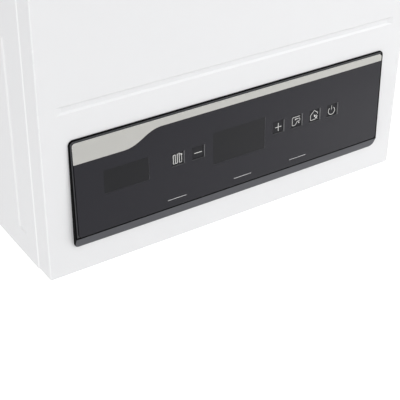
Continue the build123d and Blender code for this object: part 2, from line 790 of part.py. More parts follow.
# Cable gland: hexagon below the plate, locknut above it, a domed cap and the bore for a mains lead.
with BuildPart() as cable_gland:
    with BuildSketch(Plane.XY):
        with Locations(gland_place):
            RegularPolygon(gland_radius, 6, major_radius=False)
    extrude(amount=-gland_hex_height)
    with BuildSketch(Plane.XY.offset(-gland_hex_height)):
        with Locations(gland_place):
            Circle(gland_radius * 0.9)
    extrude(amount=-gland_cap_height, taper=gland_cap_draft)
    upright(gland_place, gland_radius * 0.7 - seat, 0, sheet + gland_thread_height)
    with BuildSketch(Plane.XY.offset(sheet)):
        with Locations(gland_place):
            RegularPolygon(gland_radius, 6, major_radius=False)
    extrude(amount=gland_nut_height)
    upright(gland_place, gland_bore, -gland_hex_height - gland_cap_height, sheet + gland_thread_height, Mode.SUBTRACT)
cable_gland.part.label = "cable_gland"
export_step(cable_gland.part, "parts/cable_gland.step")

# ================================================================ sealed chamber
chamber_top = top_z - seat
bay_rear = plate_y + seat                        # the vessel's bay starts at the frame's plate
partition_front = bay_depth + sheet
lip_front = chamber_front - sheet
exchanger_low = comb_bottom + comb_height
exchanger_top = exchanger_low + exchanger_height
riser_places = [(-riser_x, -pipe_row), (riser_x, -pipe_row)]
gas_riser_row = comb_front + manifold_gap + manifold_radius
chamber_mid = (chamber_bottom + chamber_top) / 2

with BuildPart() as sealed_chamber:
    extrude(rect_sketch(Plane.XY.offset(chamber_bottom), -carcass_half, carcass_half, -chamber_front, -bay_rear),
            amount=chamber_top - chamber_bottom)
    extrude(rect_sketch(Plane.XZ.offset(lip_front), -carcass_half + sheet, carcass_half - sheet,
                        chamber_bottom + sheet, chamber_top - sheet),
            amount=-(lip_front - partition_front), mode=Mode.SUBTRACT)
    extrude(rect_sketch(Plane.XZ.offset(chamber_front), -carcass_half + chamber_lip, carcass_half - chamber_lip,
                        chamber_bottom + chamber_lip, chamber_top - chamber_lip),
            amount=-2 * sheet, mode=Mode.SUBTRACT)
    extrude(rect_sketch(Plane.XZ.offset(bay_depth), -carcass_half + sheet, carcass_half - sheet,
                        chamber_bottom + sheet, chamber_top - sheet),
            amount=-bay_depth, mode=Mode.SUBTRACT)
    with BuildSketch(Plane.XY.offset(chamber_bottom)):
        with Locations(*riser_places):
            Circle(heating_pipe_radius + seat)
        with Locations((0, -gas_riser_row)):
            Circle(gas_pipe_radius + seat)
    extrude(amount=sheet, mode=Mode.SUBTRACT)
    with BuildSketch(Plane.XY.offset(chamber_top)):
        with Locations(flue_place):
            Circle(flue_radius + 2 * sheet)
    extrude(amount=-sheet, mode=Mode.SUBTRACT)
sealed_chamber.part.label = "sealed_chamber"
export_step(sealed_chamber.part, "parts/sealed_chamber.step")

# Chamber cover: a flat lid with a pressed field, held on the chamber's lip by screws.
field_margin = 3 * chamber_lip
with BuildPart() as chamber_cover:
    extrude(rect_sketch(Plane.XZ.offset(chamber_front), -carcass_half, carcass_half, chamber_bottom, chamber_top),
            amount=sheet)
    field_foot = rect_sketch(Plane.XZ.offset(chamber_front + sheet), -carcass_half + field_margin,
                             carcass_half - field_margin, chamber_bottom + field_margin,
                             chamber_top - field_margin)
    field_face = rect_sketch(Plane.XZ.offset(chamber_front + sheet + cover_plate_bead),
                             -carcass_half + field_margin + cover_plate_bead,
                             carcass_half - field_margin - cover_plate_bead,
                             chamber_bottom + field_margin + cover_plate_bead,
                             chamber_top - field_margin - cover_plate_bead)
    loft([field_foot, field_face])
    hollow_foot = rect_sketch(Plane.XZ.offset(chamber_front), -carcass_half + field_margin + sheet,
                              carcass_half - field_margin - sheet, chamber_bottom + field_margin + sheet,
                              chamber_top - field_margin - sheet)
    hollow_face = rect_sketch(Plane.XZ.offset(chamber_front + cover_plate_bead),
                              -carcass_half + field_margin + sheet + cover_plate_bead,
                              carcass_half - field_margin - sheet - cover_plate_bead,
                              chamber_bottom + field_margin + sheet + cover_plate_bead,
                              chamber_top - field_margin - sheet - cover_plate_bead)
    loft([hollow_foot, hollow_face], mode=Mode.SUBTRACT)
    with BuildSketch(Plane.XZ.offset(chamber_front + sheet)):
        for x in (-carcass_half + chamber_lip / 2, carcass_half - chamber_lip / 2):
            with Locations(*[(x, z) for z in (chamber_bottom + chamber_lip, chamber_mid,
                                              chamber_top - chamber_lip)]):
                Circle(screw_head_radius * 0.9)
    extrude(amount=screw_head_height)
chamber_cover.part.label = "chamber_cover"
export_step(chamber_cover.part, "parts/chamber_cover.step")

# Expansion vessel: two dished shells on a rolled rim, standing in the bay behind the partition.
vessel_y = (bay_rear + bay_depth) / 2
vessel_low = chamber_bottom + sheet + seat
vessel_z = vessel_low + vessel_height / 2
with BuildPart() as expansion_vessel:
    with BuildSketch(Plane.XZ.offset(vessel_y - vessel_rim_thickness / 2)):
        with Locations((0, vessel_z)):
            RectangleRounded(vessel_width, vessel_height, vessel_depth * 0.6)
    extrude(amount=vessel_rim_thickness)
    for direction in (-1, 1):
        foot_y = vessel_y + direction * vessel_rim_thickness / 2
        face_y = vessel_y + direction * vessel_depth / 2
        with BuildSketch(Plane.XZ.offset(foot_y)) as dish_foot:
            with Locations((0, vessel_z)):
                RectangleRounded(vessel_width - 2 * vessel_rim, vessel_height - 2 * vessel_rim,
                                 vessel_depth * 0.6 - vessel_rim)
        with BuildSketch(Plane.XZ.offset(face_y)) as dish_face:
            with Locations((0, vessel_z)):
                RectangleRounded(vessel_width - 2 * vessel_rim - vessel_depth / 2,
                                 vessel_height - 2 * vessel_rim - vessel_depth / 2,
                                 (vessel_depth * 0.6 - vessel_rim) / 2)
        loft([dish_foot.sketch, dish_face.sketch])
    with BuildSketch(Plane.XZ.offset(vessel_y + vessel_depth / 2)):
        with Locations((0, vessel_z + vessel_height / 4)):
            Circle(vessel_port_radius)
    extrude(amount=bay_depth - vessel_y - vessel_depth / 2 - seat)
    for direction in (-1, 1):
        room_y = vessel_y + direction * membrane_thickness / 2
        room_end = vessel_y + direction * (vessel_depth / 2 - vessel_sheet)
        with BuildSketch(Plane.XZ.offset(room_y)) as room_foot:
            with Locations((0, vessel_z)):
                RectangleRounded(vessel_width - 2 * vessel_rim - 2 * vessel_sheet,
                                 vessel_height - 2 * vessel_rim - 2 * vessel_sheet,
                                 vessel_depth * 0.6 - vessel_rim - vessel_sheet)
        with BuildSketch(Plane.XZ.offset(room_end)) as room_face:
            with Locations((0, vessel_z)):
                RectangleRounded(vessel_width - 2 * vessel_rim - vessel_depth / 2 - 2 * vessel_sheet,
                                 vessel_height - 2 * vessel_rim - vessel_depth / 2 - 2 * vessel_sheet,
                                 (vessel_depth * 0.6 - vessel_rim) / 2 - vessel_sheet)
        loft([room_foot.sketch, room_face.sketch], mode=Mode.SUBTRACT)
expansion_vessel.part.label = "expansion_vessel"
export_step(expansion_vessel.part, "parts/expansion_vessel.step")

# ================================================================ burner and heat exchanger
comb_half = comb_width / 2
bar_pitch = (comb_width - 2 * comb_sheet - bar_width) / (bar_count - 0.5)
bar_places = [(i - (bar_count - 1) / 2) * bar_pitch for i in range(bar_count)]
venturi_z = comb_bottom + 1.5 * venturi_radius
electrode_z = comb_bottom + bar_height + 10.0

with BuildPart() as combustion_box:
    extrude(rect_sketch(Plane.XY.offset(comb_bottom), -comb_half, comb_half, -comb_front, -comb_rear),
            amount=comb_height)
    extrude(rect_sketch(Plane.XY.offset(comb_bottom), -comb_half + comb_sheet, comb_half - comb_sheet,
                        -comb_front + comb_sheet, -comb_rear - comb_sheet),
            amount=comb_height, mode=Mode.SUBTRACT)
    with BuildSketch(Plane.XZ.offset(comb_rear)):
        with Locations(*[(x, z) for x in (-comb_half + comb_foot_width, comb_half - comb_foot_width)
                         for z in (comb_bottom + comb_foot_inset, exchanger_low - comb_foot_inset)]):
            Rectangle(comb_foot_width, comb_foot_height)
    extrude(amount=-(comb_gap - seat))
    with BuildSketch(Plane.XZ.offset(comb_front)):
        with Locations(*[(x, venturi_z) for x in bar_places]):
            Circle(venturi_radius)
        with Locations(*[(x, electrode_z) for x in electrode_places]):
            Circle(electrode_radius + seat)
    extrude(amount=-comb_sheet, mode=Mode.SUBTRACT)
combustion_box.part.label = "combustion_box"
export_step(combustion_box.part, "parts/combustion_box.step")

# Burner bars: thin folded bars with a slotted port deck on top and a venturi mouth at the front.
bar_front = comb_front - comb_sheet - seat
bar_rear = comb_rear + comb_sheet + seat
bar_length = bar_front - bar_rear
port_count = int((bar_length - 2 * bar_port_pitch) / bar_port_pitch)

with BuildPart() as burner_bars:
    for x in bar_places:
        with BuildSketch(Plane.XZ.offset(bar_rear)):
            with Locations((x, comb_bottom + bar_height * 0.4)):
                Rectangle(bar_width * 0.45, bar_height * 0.8)
            with Locations((x, comb_bottom + bar_height * 0.85)):
                Rectangle(bar_width, bar_height * 0.3)
            with Locations((x, venturi_z)):
                Circle(venturi_radius + 1)
        extrude(amount=bar_length)
        with BuildSketch(Plane.XZ.offset(bar_rear + bar_sheet)):
            with Locations((x, comb_bottom + bar_height * 0.4)):
                Rectangle(bar_width * 0.45 - 2 * bar_sheet, bar_height * 0.8 - 2 * bar_sheet)
        extrude(amount=bar_length - 2 * bar_sheet, mode=Mode.SUBTRACT)
        extrude(rect_sketch(Plane.XZ.offset(bar_rear + bar_sheet),
                            x - bar_width / 2 + bar_sheet, x + bar_width / 2 - bar_sheet,
                            comb_bottom + bar_height * 0.7 + bar_sheet,
                            comb_bottom + bar_height - bar_width / 3 - bar_sheet),
                amount=bar_length - 2 * bar_sheet, mode=Mode.SUBTRACT)
        with BuildSketch(Plane.XZ.offset(bar_front)):
            with Locations((x, venturi_z)):
                Circle(venturi_radius)
        extrude(amount=-bar_length / 3, mode=Mode.SUBTRACT)
        with BuildSketch(Plane.XY.offset(comb_bottom + bar_height)):
            with Locations(*[(x, -bar_rear - bar_port_pitch * (i + 1)) for i in range(port_count)]):
                Rectangle(bar_width + 1, bar_port_width)
        extrude(amount=-bar_width / 3, mode=Mode.SUBTRACT)
burner_bars.part.label = "burner_bars"
export_step(burner_bars.part, "parts/burner_bars.step")

# Burner manifold: gas rail with one nozzle for each bar and two brackets to the combustion box.
manifold_y = comb_front + manifold_gap + manifold_radius
manifold_half = comb_half - manifold_inset
manifold_foot = chamber_bottom + 3 * sheet
with BuildPart() as burner_manifold:
    with BuildSketch(Plane.YZ.offset(-manifold_half)):
        with Locations((-manifold_y, venturi_z)):
            Circle(manifold_radius)
    extrude(amount=2 * manifold_half)
    with BuildSketch(Plane.XZ.offset(manifold_y)):
        with Locations(*[(x, venturi_z) for x in bar_places]):
            Circle(nozzle_radius)
    extrude(amount=-(manifold_radius + manifold_gap - seat))
    for x in (-manifold_half, manifold_half - manifold_bracket):
        extrude(rect_sketch(Plane.XZ.offset(comb_front), x, x + manifold_bracket, venturi_z - manifold_radius,
                            venturi_z + 2 * manifold_radius), amount=manifold_gap + manifold_radius)
    upright((0, -manifold_y), gas_pipe_radius + tail_wall, manifold_foot, venturi_z)
    upright((0, -manifold_y), gas_pipe_radius + shaft_clearance, manifold_foot, manifold_foot + manifold_socket,
            Mode.SUBTRACT)
burner_manifold.part.label = "burner_manifold"
export_step(burner_manifold.part, "parts/burner_manifold.step")

# Electrodes: two spark electrodes and one flame sensor, ceramic bodies with bent tips over the bars.
with BuildPart() as electrodes:
    for x in electrode_places:
        forward(x, electrode_z, electrode_radius, comb_front - electrode_reach,
                comb_front - electrode_reach + electrode_length)
        with BuildSketch(Plane.XZ.offset(comb_front)):
            with Locations((x, electrode_z)):
                Rectangle(electrode_flange_width, 3 * electrode_radius)
        extrude(amount=electrode_flange_thickness)
        forward(x, electrode_z, electrode_wire_radius, comb_front - electrode_reach - electrode_wire_length,
                comb_front - electrode_reach)
electrodes.part.label = "electrodes"
export_step(electrodes.part, "parts/electrodes.step")

# Insulation boards: four boards that line the combustion box above the burner.
board_z = comb_bottom + insulation_low
lining_half = comb_half - comb_sheet
with BuildPart() as insulation_boards:
    for y_rear in (comb_rear + comb_sheet, comb_front - comb_sheet - board_insulation):
        extrude(rect_sketch(Plane.XY.offset(board_z), -lining_half, lining_half,
                            -y_rear - board_insulation, -y_rear), amount=exchanger_low - board_z)
    for x_low in (-lining_half, lining_half - board_insulation):
        extrude(rect_sketch(Plane.XY.offset(board_z), x_low, x_low + board_insulation,
                            -comb_front + comb_sheet + board_insulation + seat,
                            -comb_rear - comb_sheet - board_insulation - seat), amount=exchanger_low - board_z)
insulation_boards.part.label = "insulation_boards"
export_step(insulation_boards.part, "parts/insulation_boards.step")

# Heat exchanger: a block of fins above and below a row of tubes, with end plates and return bends.
tube_pitch = (comb_front - 2 * exchanger_tube_radius - pipe_row) / (exchanger_tube_count - 1)
tube_rows = [pipe_row + i * tube_pitch for i in range(exchanger_tube_count)]
tube_z = exchanger_low + exchanger_height / 2
fin_pitch = (comb_width - 2 * end_plate) / fin_count
bend_reach = tube_pitch / 2

with BuildPart() as heat_exchanger:
    extrude(rect_sketch(Plane.XY.offset(exchanger_low), -comb_half, comb_half, -comb_front, -comb_rear),
            amount=exchanger_height)
    slot_places = [(-comb_half + end_plate + fin_pitch * (i + 0.5), -comb_mid) for i in range(fin_count)]
    for slot_plane, slot_depth in ((Plane.XY.offset(exchanger_low), fin_slot_depth),
                                   (Plane.XY.offset(exchanger_top), -fin_slot_depth)):
        with BuildSketch(slot_plane):
            with Locations(*slot_places):
                Rectangle(fin_pitch - fin_thickness, comb_depth - 2 * end_plate)
        extrude(amount=slot_depth, mode=Mode.SUBTRACT)
    for side in (-1, 1):
        first = 0 if side == 1 else 1
        for row in tube_rows[first:-1:2]:
            with BuildLine() as bend:
                ThreePointArc((side * comb_half, -row, tube_z),
                              (side * (comb_half + bend_reach), -row - bend_reach, tube_z),
                              (side * comb_half, -row - tube_pitch, tube_z))
            with BuildSketch(Plane(origin=(side * comb_half, -row, tube_z), z_dir=(side, 0, 0))):
                Circle(exchanger_tube_radius)
            sweep(path=bend.wires()[0])
heat_exchanger.part.label = "heat_exchanger"
export_step(heat_exchanger.part, "parts/heat_exchanger.step")

# ================================================================ flue side
# The fan's outlet is centred on the flue, which fixes the fan's axis.
cutoff_angle = 60.0
fan_axis_x = -(volute_end + volute_start * cos(radians(cutoff_angle))) / 2
plenum_foot = exchanger_top + hood_rise
volute_growth = (volute_end - volute_start) / (360.0 - cutoff_angle)
volute_bottom = volute_start + volute_growth * (270.0 - cutoff_angle)
fan_z = plenum_foot + fan_gap + volute_bottom
volute_top = fan_z + volute_start + fan_gap
fan_front = plenum_front + fan_width
plenum_height = fan_z + fan_inlet_radius + plenum_rim - plenum_foot
spigot_radius = exhaust_radius - flue_wall - seat
spigot_shoulder = 2.0       # the outlet's square head is this much wider than its spigot
spigot_low = volute_top + outlet_rise
spigot_top = chamber_top - spigot_gap


def box_hood(inset):
    """The hood's loft and the plenum above it, drawn in by the sheet's thickness for the hollow."""
    foot = rect_sketch(Plane.XY.offset(exchanger_top), -comb_half + inset, comb_half - inset,
                       -comb_front + inset, -comb_rear - inset)
    neck = rect_sketch(Plane.XY.offset(plenum_foot), fan_axis_x - plenum_width / 2 + inset,
                       fan_axis_x + plenum_width / 2 - inset, -plenum_front + inset, -plenum_rear - inset)
    return foot, neck


with BuildPart() as flue_hood:
    hood_foot, hood_neck = box_hood(0)
    loft([hood_foot, hood_neck])
    extrude(hood_neck, amount=plenum_height)
    hollow_foot, hollow_neck = box_hood(sheet)
    loft([hollow_foot, hollow_neck], mode=Mode.SUBTRACT)
    extrude(hollow_neck, amount=plenum_height - sheet, mode=Mode.SUBTRACT)
    with BuildSketch(Plane.XZ.offset(plenum_front)):
        with Locations((fan_axis_x, fan_z)):
            Circle(fan_inlet_radius)
    extrude(amount=-2 * sheet, mode=Mode.SUBTRACT)
flue_hood.part.label = "flue_hood"
export_step(flue_hood.part, "parts/flue_hood.step")


def volute_profile(distance, inset):
    """Spiral casing seen from the front: it grows steadily from the cut-off to the outlet's outer wall."""
    step = 30.0
    angles = [cutoff_angle + step * i for i in range(int((360.0 - cutoff_angle) / step) + 1)]
    tongue_x = fan_axis_x + volute_start * cos(radians(cutoff_angle)) + inset
    spiral = [(tongue_x, fan_z + volute_start * sin(radians(cutoff_angle)) - inset)]
    for angle in angles[1:]:
        radius = volute_start + volute_growth * (angle - cutoff_angle) - inset
        spiral.append((fan_axis_x + radius * cos(radians(angle)), fan_z + radius * sin(radians(angle))))
    outer_x = fan_axis_x + volute_end - inset
    with BuildSketch(Plane.XZ.offset(distance)) as profile:
        with BuildLine():
            Spline(*spiral)
            Polyline(spiral[-1], (outer_x, volute_top), (tongue_x, volute_top), spiral[0])
        make_face()
    return profile.sketch, tongue_x, outer_x


def outlet_sections(x_low, x_high, inset):
    """The outlet widens from the volute's mouth to a square around the round spigot."""
    foot = rect_sketch(Plane.XY.offset(volute_top), x_low, x_high, -fan_front + inset, -plenum_front - inset)
    head_half = spigot_radius + spigot_shoulder - inset
    head = rect_sketch(Plane.XY.offset(spigot_low - inset), -head_half, head_half,
                       -flue_row - head_half, -flue_row + head_half)
    return foot, head


with BuildPart() as fan_housing:
    casing, tongue_x, outer_x = volute_profile(plenum_front, 0)
    extrude(casing, amount=fan_width)
    loft(outlet_sections(tongue_x, outer_x, 0))
    upright(flue_place, spigot_radius, spigot_low, spigot_top)
    room, room_left, room_right = volute_profile(plenum_front + fan_sheet, fan_sheet)
    extrude(room, amount=fan_width - 2 * fan_sheet, mode=Mode.SUBTRACT)
    loft(outlet_sections(room_left, room_right, fan_sheet), mode=Mode.SUBTRACT)
    upright(flue_place, spigot_radius - fan_sheet, spigot_low - 2 * fan_sheet, spigot_top, Mode.SUBTRACT)
    with BuildSketch(Plane.XZ.offset(plenum_front)):
        with Locations((fan_axis_x, fan_z)):
            Circle(fan_inlet_radius)
    extrude(amount=fan_sheet, mode=Mode.SUBTRACT)
    with BuildSketch(Plane.XZ.offset(fan_front)):
        with Locations((fan_axis_x, fan_z)):
            Circle(3 * fan_shaft_radius)
    extrude(amount=-fan_sheet, mode=Mode.SUBTRACT)
fan_housing.part.label = "fan_housing"
export_step(fan_housing.part, "parts/fan_housing.step")

# Impeller: hub, back plate, a ring of forward-leaning blades and the shaft that runs in the motor.
impeller_rear = plenum_front + (fan_width - impeller_width) / 2
impeller_front = impeller_rear + impeller_width
blade_length = impeller_radius * 0.24
with BuildPart() as fan_impeller:
    with BuildSketch(Plane.XZ.offset(impeller_front - blade_thickness)):
        with Locations((fan_axis_x, fan_z)):
            Circle(impeller_radius)
    extrude(amount=blade_thickness)
    with BuildSketch(Plane.XZ.offset(impeller_rear)):
        with Locations((fan_axis_x, fan_z)):
            with PolarLocations(impeller_radius - blade_length / 2, impeller_blades):
                Rectangle(blade_length, blade_thickness, rotation=35)
    extrude(amount=impeller_width - blade_thickness)
    with BuildSketch(Plane.XZ.offset(impeller_rear)):
        with Locations((fan_axis_x, fan_z)):
            Circle(impeller_radius)
            Circle(impeller_radius - blade_length, mode=Mode.SUBTRACT)
    extrude(amount=blade_thickness)
    with BuildSketch(Plane.XZ.offset(impeller_rear + impeller_width / 3)):
        with Locations((fan_axis_x, fan_z)):
            Circle(3 * fan_shaft_radius)
    extrude(amount=impeller_width * 2 / 3)
    with BuildSketch(Plane.XZ.offset(impeller_front)):
        with Locations((fan_axis_x, fan_z)):
            Circle(fan_shaft_radius)
    extrude(amount=fan_front - impeller_front + fan_motor_length / 2)
fan_impeller.part.label = "fan_impeller"
export_step(fan_impeller.part, "parts/fan_impeller.step")

with BuildPart() as fan_motor:
    with BuildSketch(Plane.XZ.offset(fan_front)):
        with Locations((fan_axis_x, fan_z)):
            Circle(fan_motor_radius * 0.8)
            with PolarLocations(fan_motor_radius, 3):
                Circle(motor_lug_radius)
            with PolarLocations(fan_motor_radius / 2, 3):
                Rectangle(fan_motor_radius, motor_arm_width)
    extrude(amount=motor_arm_thickness)
    forward(fan_axis_x, fan_z, fan_motor_radius * 0.8, fan_front + motor_arm_thickness, fan_front + fan_motor_length)
    fillet(fan_motor.faces().sort_by(Axis.Y)[0].edges(), motor_edge_radius)
    with BuildSketch(Plane.XZ.offset(fan_front + motor_arm_thickness + winding_gap)):
        with Locations((fan_axis_x, fan_z)):
            Rectangle(fan_motor_radius * 2, fan_motor_radius * 1.3)
    extrude(amount=winding_width)
    forward(fan_axis_x, fan_z, fan_shaft_radius + shaft_clearance, fan_front,
            fan_front + fan_motor_length / 2 + motor_arm_thickness, Mode.SUBTRACT)
fan_motor.part.label = "fan_motor"
export_step(fan_motor.part, "parts/fan_motor.step")

# Air pressure switch: two round shells on a rolled rim, with two hose barbs, on the chamber's left wall.
switch_radius = 32.0
switch_depth = 22.0
switch_rim_rise = 9.0
switch_rim_width = 4.0
barb_radius = 3.0
barb_length = 12.0
tab_spread = 14.0
tab_width = 6.0
tab_thickness = 0.8
tab_length = 8.0
switch_row = 205.0
switch_z = fan_z
switch_wall = -carcass_half + sheet
with BuildPart() as air_pressure_switch:
    with BuildSketch(Plane.YZ.offset(switch_wall)):
        with Locations((-switch_row, switch_z)):
            Circle(switch_radius * 0.85)
    extrude(amount=switch_depth)
    with BuildSketch(Plane.YZ.offset(switch_wall + switch_rim_rise)):
        with Locations((-switch_row, switch_z)):
            Circle(switch_radius)
    extrude(amount=switch_rim_width)
    with BuildSketch(Plane.YZ.offset(switch_wall + switch_depth)):
        with Locations(*[(-switch_row, switch_z + lift) for lift in (-3 * barb_radius, 3 * barb_radius)]):
            Circle(barb_radius)
    extrude(amount=barb_length)
    with BuildSketch(Plane.YZ.offset(switch_wall + switch_depth)):
        with Locations((-switch_row - tab_spread, switch_z), (-switch_row + tab_spread, switch_z)):
            Rectangle(tab_width, tab_thickness)
    extrude(amount=tab_length)
air_pressure_switch.part.label = "air_pressure_switch"
export_step(air_pressure_switch.part, "parts/air_pressure_switch.step")

# Flue adaptor: a flange on the top panel, the outer air collar and the inner exhaust tube on three webs.
flange_low = case_height + gasket_thickness
collar_top = flange_low + flue_flange_thickness + flue_collar_height
collar_low = chamber_top - 2 * sheet
exhaust_low = spigot_low + 2 * sheet
with BuildPart() as flue_adaptor:
    with BuildSketch(Plane.XY.offset(flange_low)):
        with Locations(flue_place):
            Circle(flue_flange)
            with PolarLocations(flue_flange - flange_screw_inset, 4, start_angle=45):
                Circle(screw_radius, mode=Mode.SUBTRACT)
    extrude(amount=flue_flange_thickness)
    with BuildSketch(Plane.XY.offset(collar_low)):
        with Locations(flue_place):
            Circle(flue_radius)
    extrude(amount=collar_top - collar_low)
    with BuildSketch(Plane.XY.offset(collar_low)):
        with Locations(flue_place):
            Circle(flue_radius - flue_wall)
    extrude(amount=collar_top - collar_low, mode=Mode.SUBTRACT)
    with BuildSketch(Plane.XY.offset(flange_low)):
        with Locations(flue_place):
            with PolarLocations((flue_radius + exhaust_radius) / 2, 3, start_angle=30):
                Rectangle(flue_radius - exhaust_radius - flue_wall, flue_wall)
    extrude(amount=flue_collar_height / 3)
    with BuildSketch(Plane.XY.offset(exhaust_low)):
        with Locations(flue_place):
            Circle(exhaust_radius + flue_wall)
    extrude(amount=collar_top - exhaust_low)
    with BuildSketch(Plane.XY.offset(exhaust_low)):
        with Locations(flue_place):
            Circle(exhaust_radius)
    extrude(amount=collar_top - exhaust_low, mode=Mode.SUBTRACT)
flue_adaptor.part.label = "flue_adaptor"
export_step(flue_adaptor.part, "parts/flue_adaptor.step")

with BuildPart() as flue_gasket:
    with BuildSketch(Plane.XY.offset(case_height)):
        with Locations(flue_place):
            Circle(flue_flange - 1)
            Circle(flue_radius + 2 * sheet, mode=Mode.SUBTRACT)
            with PolarLocations(flue_flange - flange_screw_inset, 4, start_angle=45):
                Circle(screw_radius, mode=Mode.SUBTRACT)
    extrude(amount=gasket_thickness)
flue_gasket.part.label = "flue_gasket"
export_step(flue_gasket.part, "parts/flue_gasket.step")

# ================================================================ hydraulics
# Pipe tails: five threaded tails in a row, each with a nut above the plate.
with BuildPart() as pipe_tails:
    for place, radius in zip(tail_places, tail_radii):
        with BuildSketch(Plane.XY.offset(-tail_drop)):
            with Locations(place):
                Circle(radius)
        extrude(amount=tail_drop + tail_top)
        with BuildSketch(Plane.XY.offset(4 * sheet)):
            with Locations(place):
                RegularPolygon(radius + tail_nut, 6, major_radius=False)
        extrude(amount=tail_nut_height)
        with BuildSketch(Plane.XY.offset(-tail_drop)):
            with Locations(place):
                Circle(radius - tail_wall)
        extrude(amount=tail_drop + tail_top, mode=Mode.SUBTRACT)
pipe_tails.part.label = "pipe_tails"
export_step(pipe_tails.part, "parts/pipe_tails.step")

flow_x, hot_x, gas_x, cold_x, return_x = [place[0] for place in tail_places]
stack_gap = 9.0                 # tails' blocks to the plate heat exchanger
stack_port_inset = 19.0
stack_port_rise = 16.0
stack_front = pipe_row - water_block_radius - stack_gap
stack_rear = stack_front - plate_stack_depth
stack_top = plate_stack_low + plate_stack_height
stack_port_x = plate_stack_width / 2 - stack_port_inset
stack_port_radius = 9.0
stack_port_low = plate_stack_low + stack_port_rise
stack_port_high = stack_top - stack_port_rise


# Plate heat exchanger: a brazed stack of plates with grooves between their edges.
with BuildPart() as plate_heat_exchanger:
    stack_z = (plate_stack_low + stack_top) / 2
    with BuildSketch(Plane.XZ.offset(stack_rear)):
        with Locations((0, stack_z)):
            RectangleRounded(plate_stack_width, plate_stack_height, stack_corner)
    extrude(amount=plate_stack_depth)
    plate_pitch = plate_stack_depth / plate_count
    for i in range(1, plate_count):
        with BuildSketch(Plane.XZ.offset(stack_rear + i * plate_pitch - plate_groove / 2)):
            with Locations((0, stack_z)):
                RectangleRounded(plate_stack_width + 2, plate_stack_height + 2, stack_corner)
                RectangleRounded(plate_stack_width - 2 * plate_groove, plate_stack_height - 2 * plate_groove,
                                 stack_corner - plate_groove, mode=Mode.SUBTRACT)
        extrude(amount=plate_groove, mode=Mode.SUBTRACT)
    with BuildSketch(Plane.XZ.offset(stack_rear + plate_stack_wall)):
        with Locations((0, stack_z)):
            RectangleRounded(plate_stack_width - 2 * plate_stack_wall, plate_stack_height - 2 * plate_stack_wall,
                             stack_corner - plate_stack_wall)
    extrude(amount=plate_stack_depth - 2 * plate_stack_wall, mode=Mode.SUBTRACT)
plate_heat_exchanger.part.label = "plate_heat_exchanger"
export_step(plate_heat_exchanger.part, "parts/plate_heat_exchanger.step")

# Flow block: heating flow and hot water side, with the three-way valve's chamber.
valve_chamber_low = 66.0
valve_chamber_high = 98.0
block_top = 134.0
socket_depth = 14.0
socket_wall = 4.0               # around a pipe's end
socket_fall = 20.0              # socket's top to the duct that feeds it
flow_socket_top = 124.0
flow_socket_z = flow_socket_top - socket_fall
bypass_z = tail_top + 26.0
boss_z = 48.0
boss_radius = 10.0
boss_front = pipe_row + block_radius + 2.0
thread_depth = 10.0
drain_radius = 4.0
motor_flange = 4.0

with BuildPart() as flow_block:
    upright(tail_places[0], block_radius, tail_top, block_top)
    upright(tail_places[1], water_block_radius, tail_top, stack_port_low + stack_port_radius + 1)
    across(flow_x, hot_x, bypass_z, port_radius)
    across(flow_x, -stack_port_x, stack_port_high, stack_port_radius)
    across(-riser_x, flow_x, flow_socket_z, port_radius)
    forward(-stack_port_x, stack_port_low, stack_port_radius, stack_front, pipe_row)
    forward(-stack_port_x, stack_port_high, stack_port_radius, stack_front, pipe_row + stack_port_radius / 2)
    upright(riser_places[0], heating_pipe_radius + socket_wall, flow_socket_z - port_radius - 1, flow_socket_top)
    forward(flow_x, boss_z, boss_radius, pipe_row, boss_front)
    with BuildSketch(Plane.XY.offset(block_top)):
        with Locations(tail_places[0]):
            RectangleRounded(diverter_size, diverter_size, motor_flange)
    extrude(amount=motor_flange)
    upright(riser_places[0], heating_pipe_radius + shaft_clearance, flow_socket_top - socket_depth,
            flow_socket_top, Mode.SUBTRACT)
    upright(tail_places[0], valve_chamber_radius, valve_chamber_low, valve_chamber_high, Mode.SUBTRACT)
    upright(tail_places[0], stem_radius + shaft_clearance, valve_chamber_high, block_top + motor_flange,
            Mode.SUBTRACT)
    forward(flow_x, boss_z, drain_radius + shaft_clearance, boss_front - thread_depth, boss_front,
            Mode.SUBTRACT)
flow_block.part.label = "flow_block"
export_step(flow_block.part, "parts/flow_block.step")

# Diverter: the stem with its valve disc slides down from rest, the motor sits on the block's flange.
disc_thickness = 4.0
disc_z = valve_chamber_low + stem_travel + 3 * disc_thickness
stem_top = block_top + diverter_height / 2
with BuildPart() as diverter_stem:
    upright(tail_places[0], stem_radius, disc_z - disc_thickness, stem_top)
    upright(tail_places[0], valve_disc_radius, disc_z, disc_z + disc_thickness)
    chamfer(diverter_stem.edges().filter_by(GeomType.CIRCLE).group_by(SortBy.RADIUS)[-1], 1)
diverter_stem.part.label = "diverter_stem"
export_step(diverter_stem.part, "parts/diverter_stem.step")

motor_foot = block_top + motor_flange
connector_width = 20.0
connector_height = 14.0
connector_depth = 8.0
with BuildPart() as diverter_motor:
    with BuildSketch(Plane.XY.offset(motor_foot)):
        with Locations(tail_places[0]):
            RectangleRounded(diverter_size, diverter_size, 6)
    extrude(amount=diverter_height)
    fillet(diverter_motor.faces().sort_by(Axis.Z)[-1].edges(), 3)
    with BuildSketch(Plane.XZ.offset(pipe_row + diverter_size / 2)):
        with Locations((flow_x, motor_foot + diverter_height * 0.55)):
            RectangleRounded(connector_width, connector_height, connector_height / 7)
    extrude(amount=connector_depth)
    upright(tail_places[0], stem_radius + seat, motor_foot, stem_top + disc_thickness, Mode.SUBTRACT)
diverter_motor.part.label = "diverter_motor"
export_step(diverter_motor.part, "parts/diverter_motor.step")

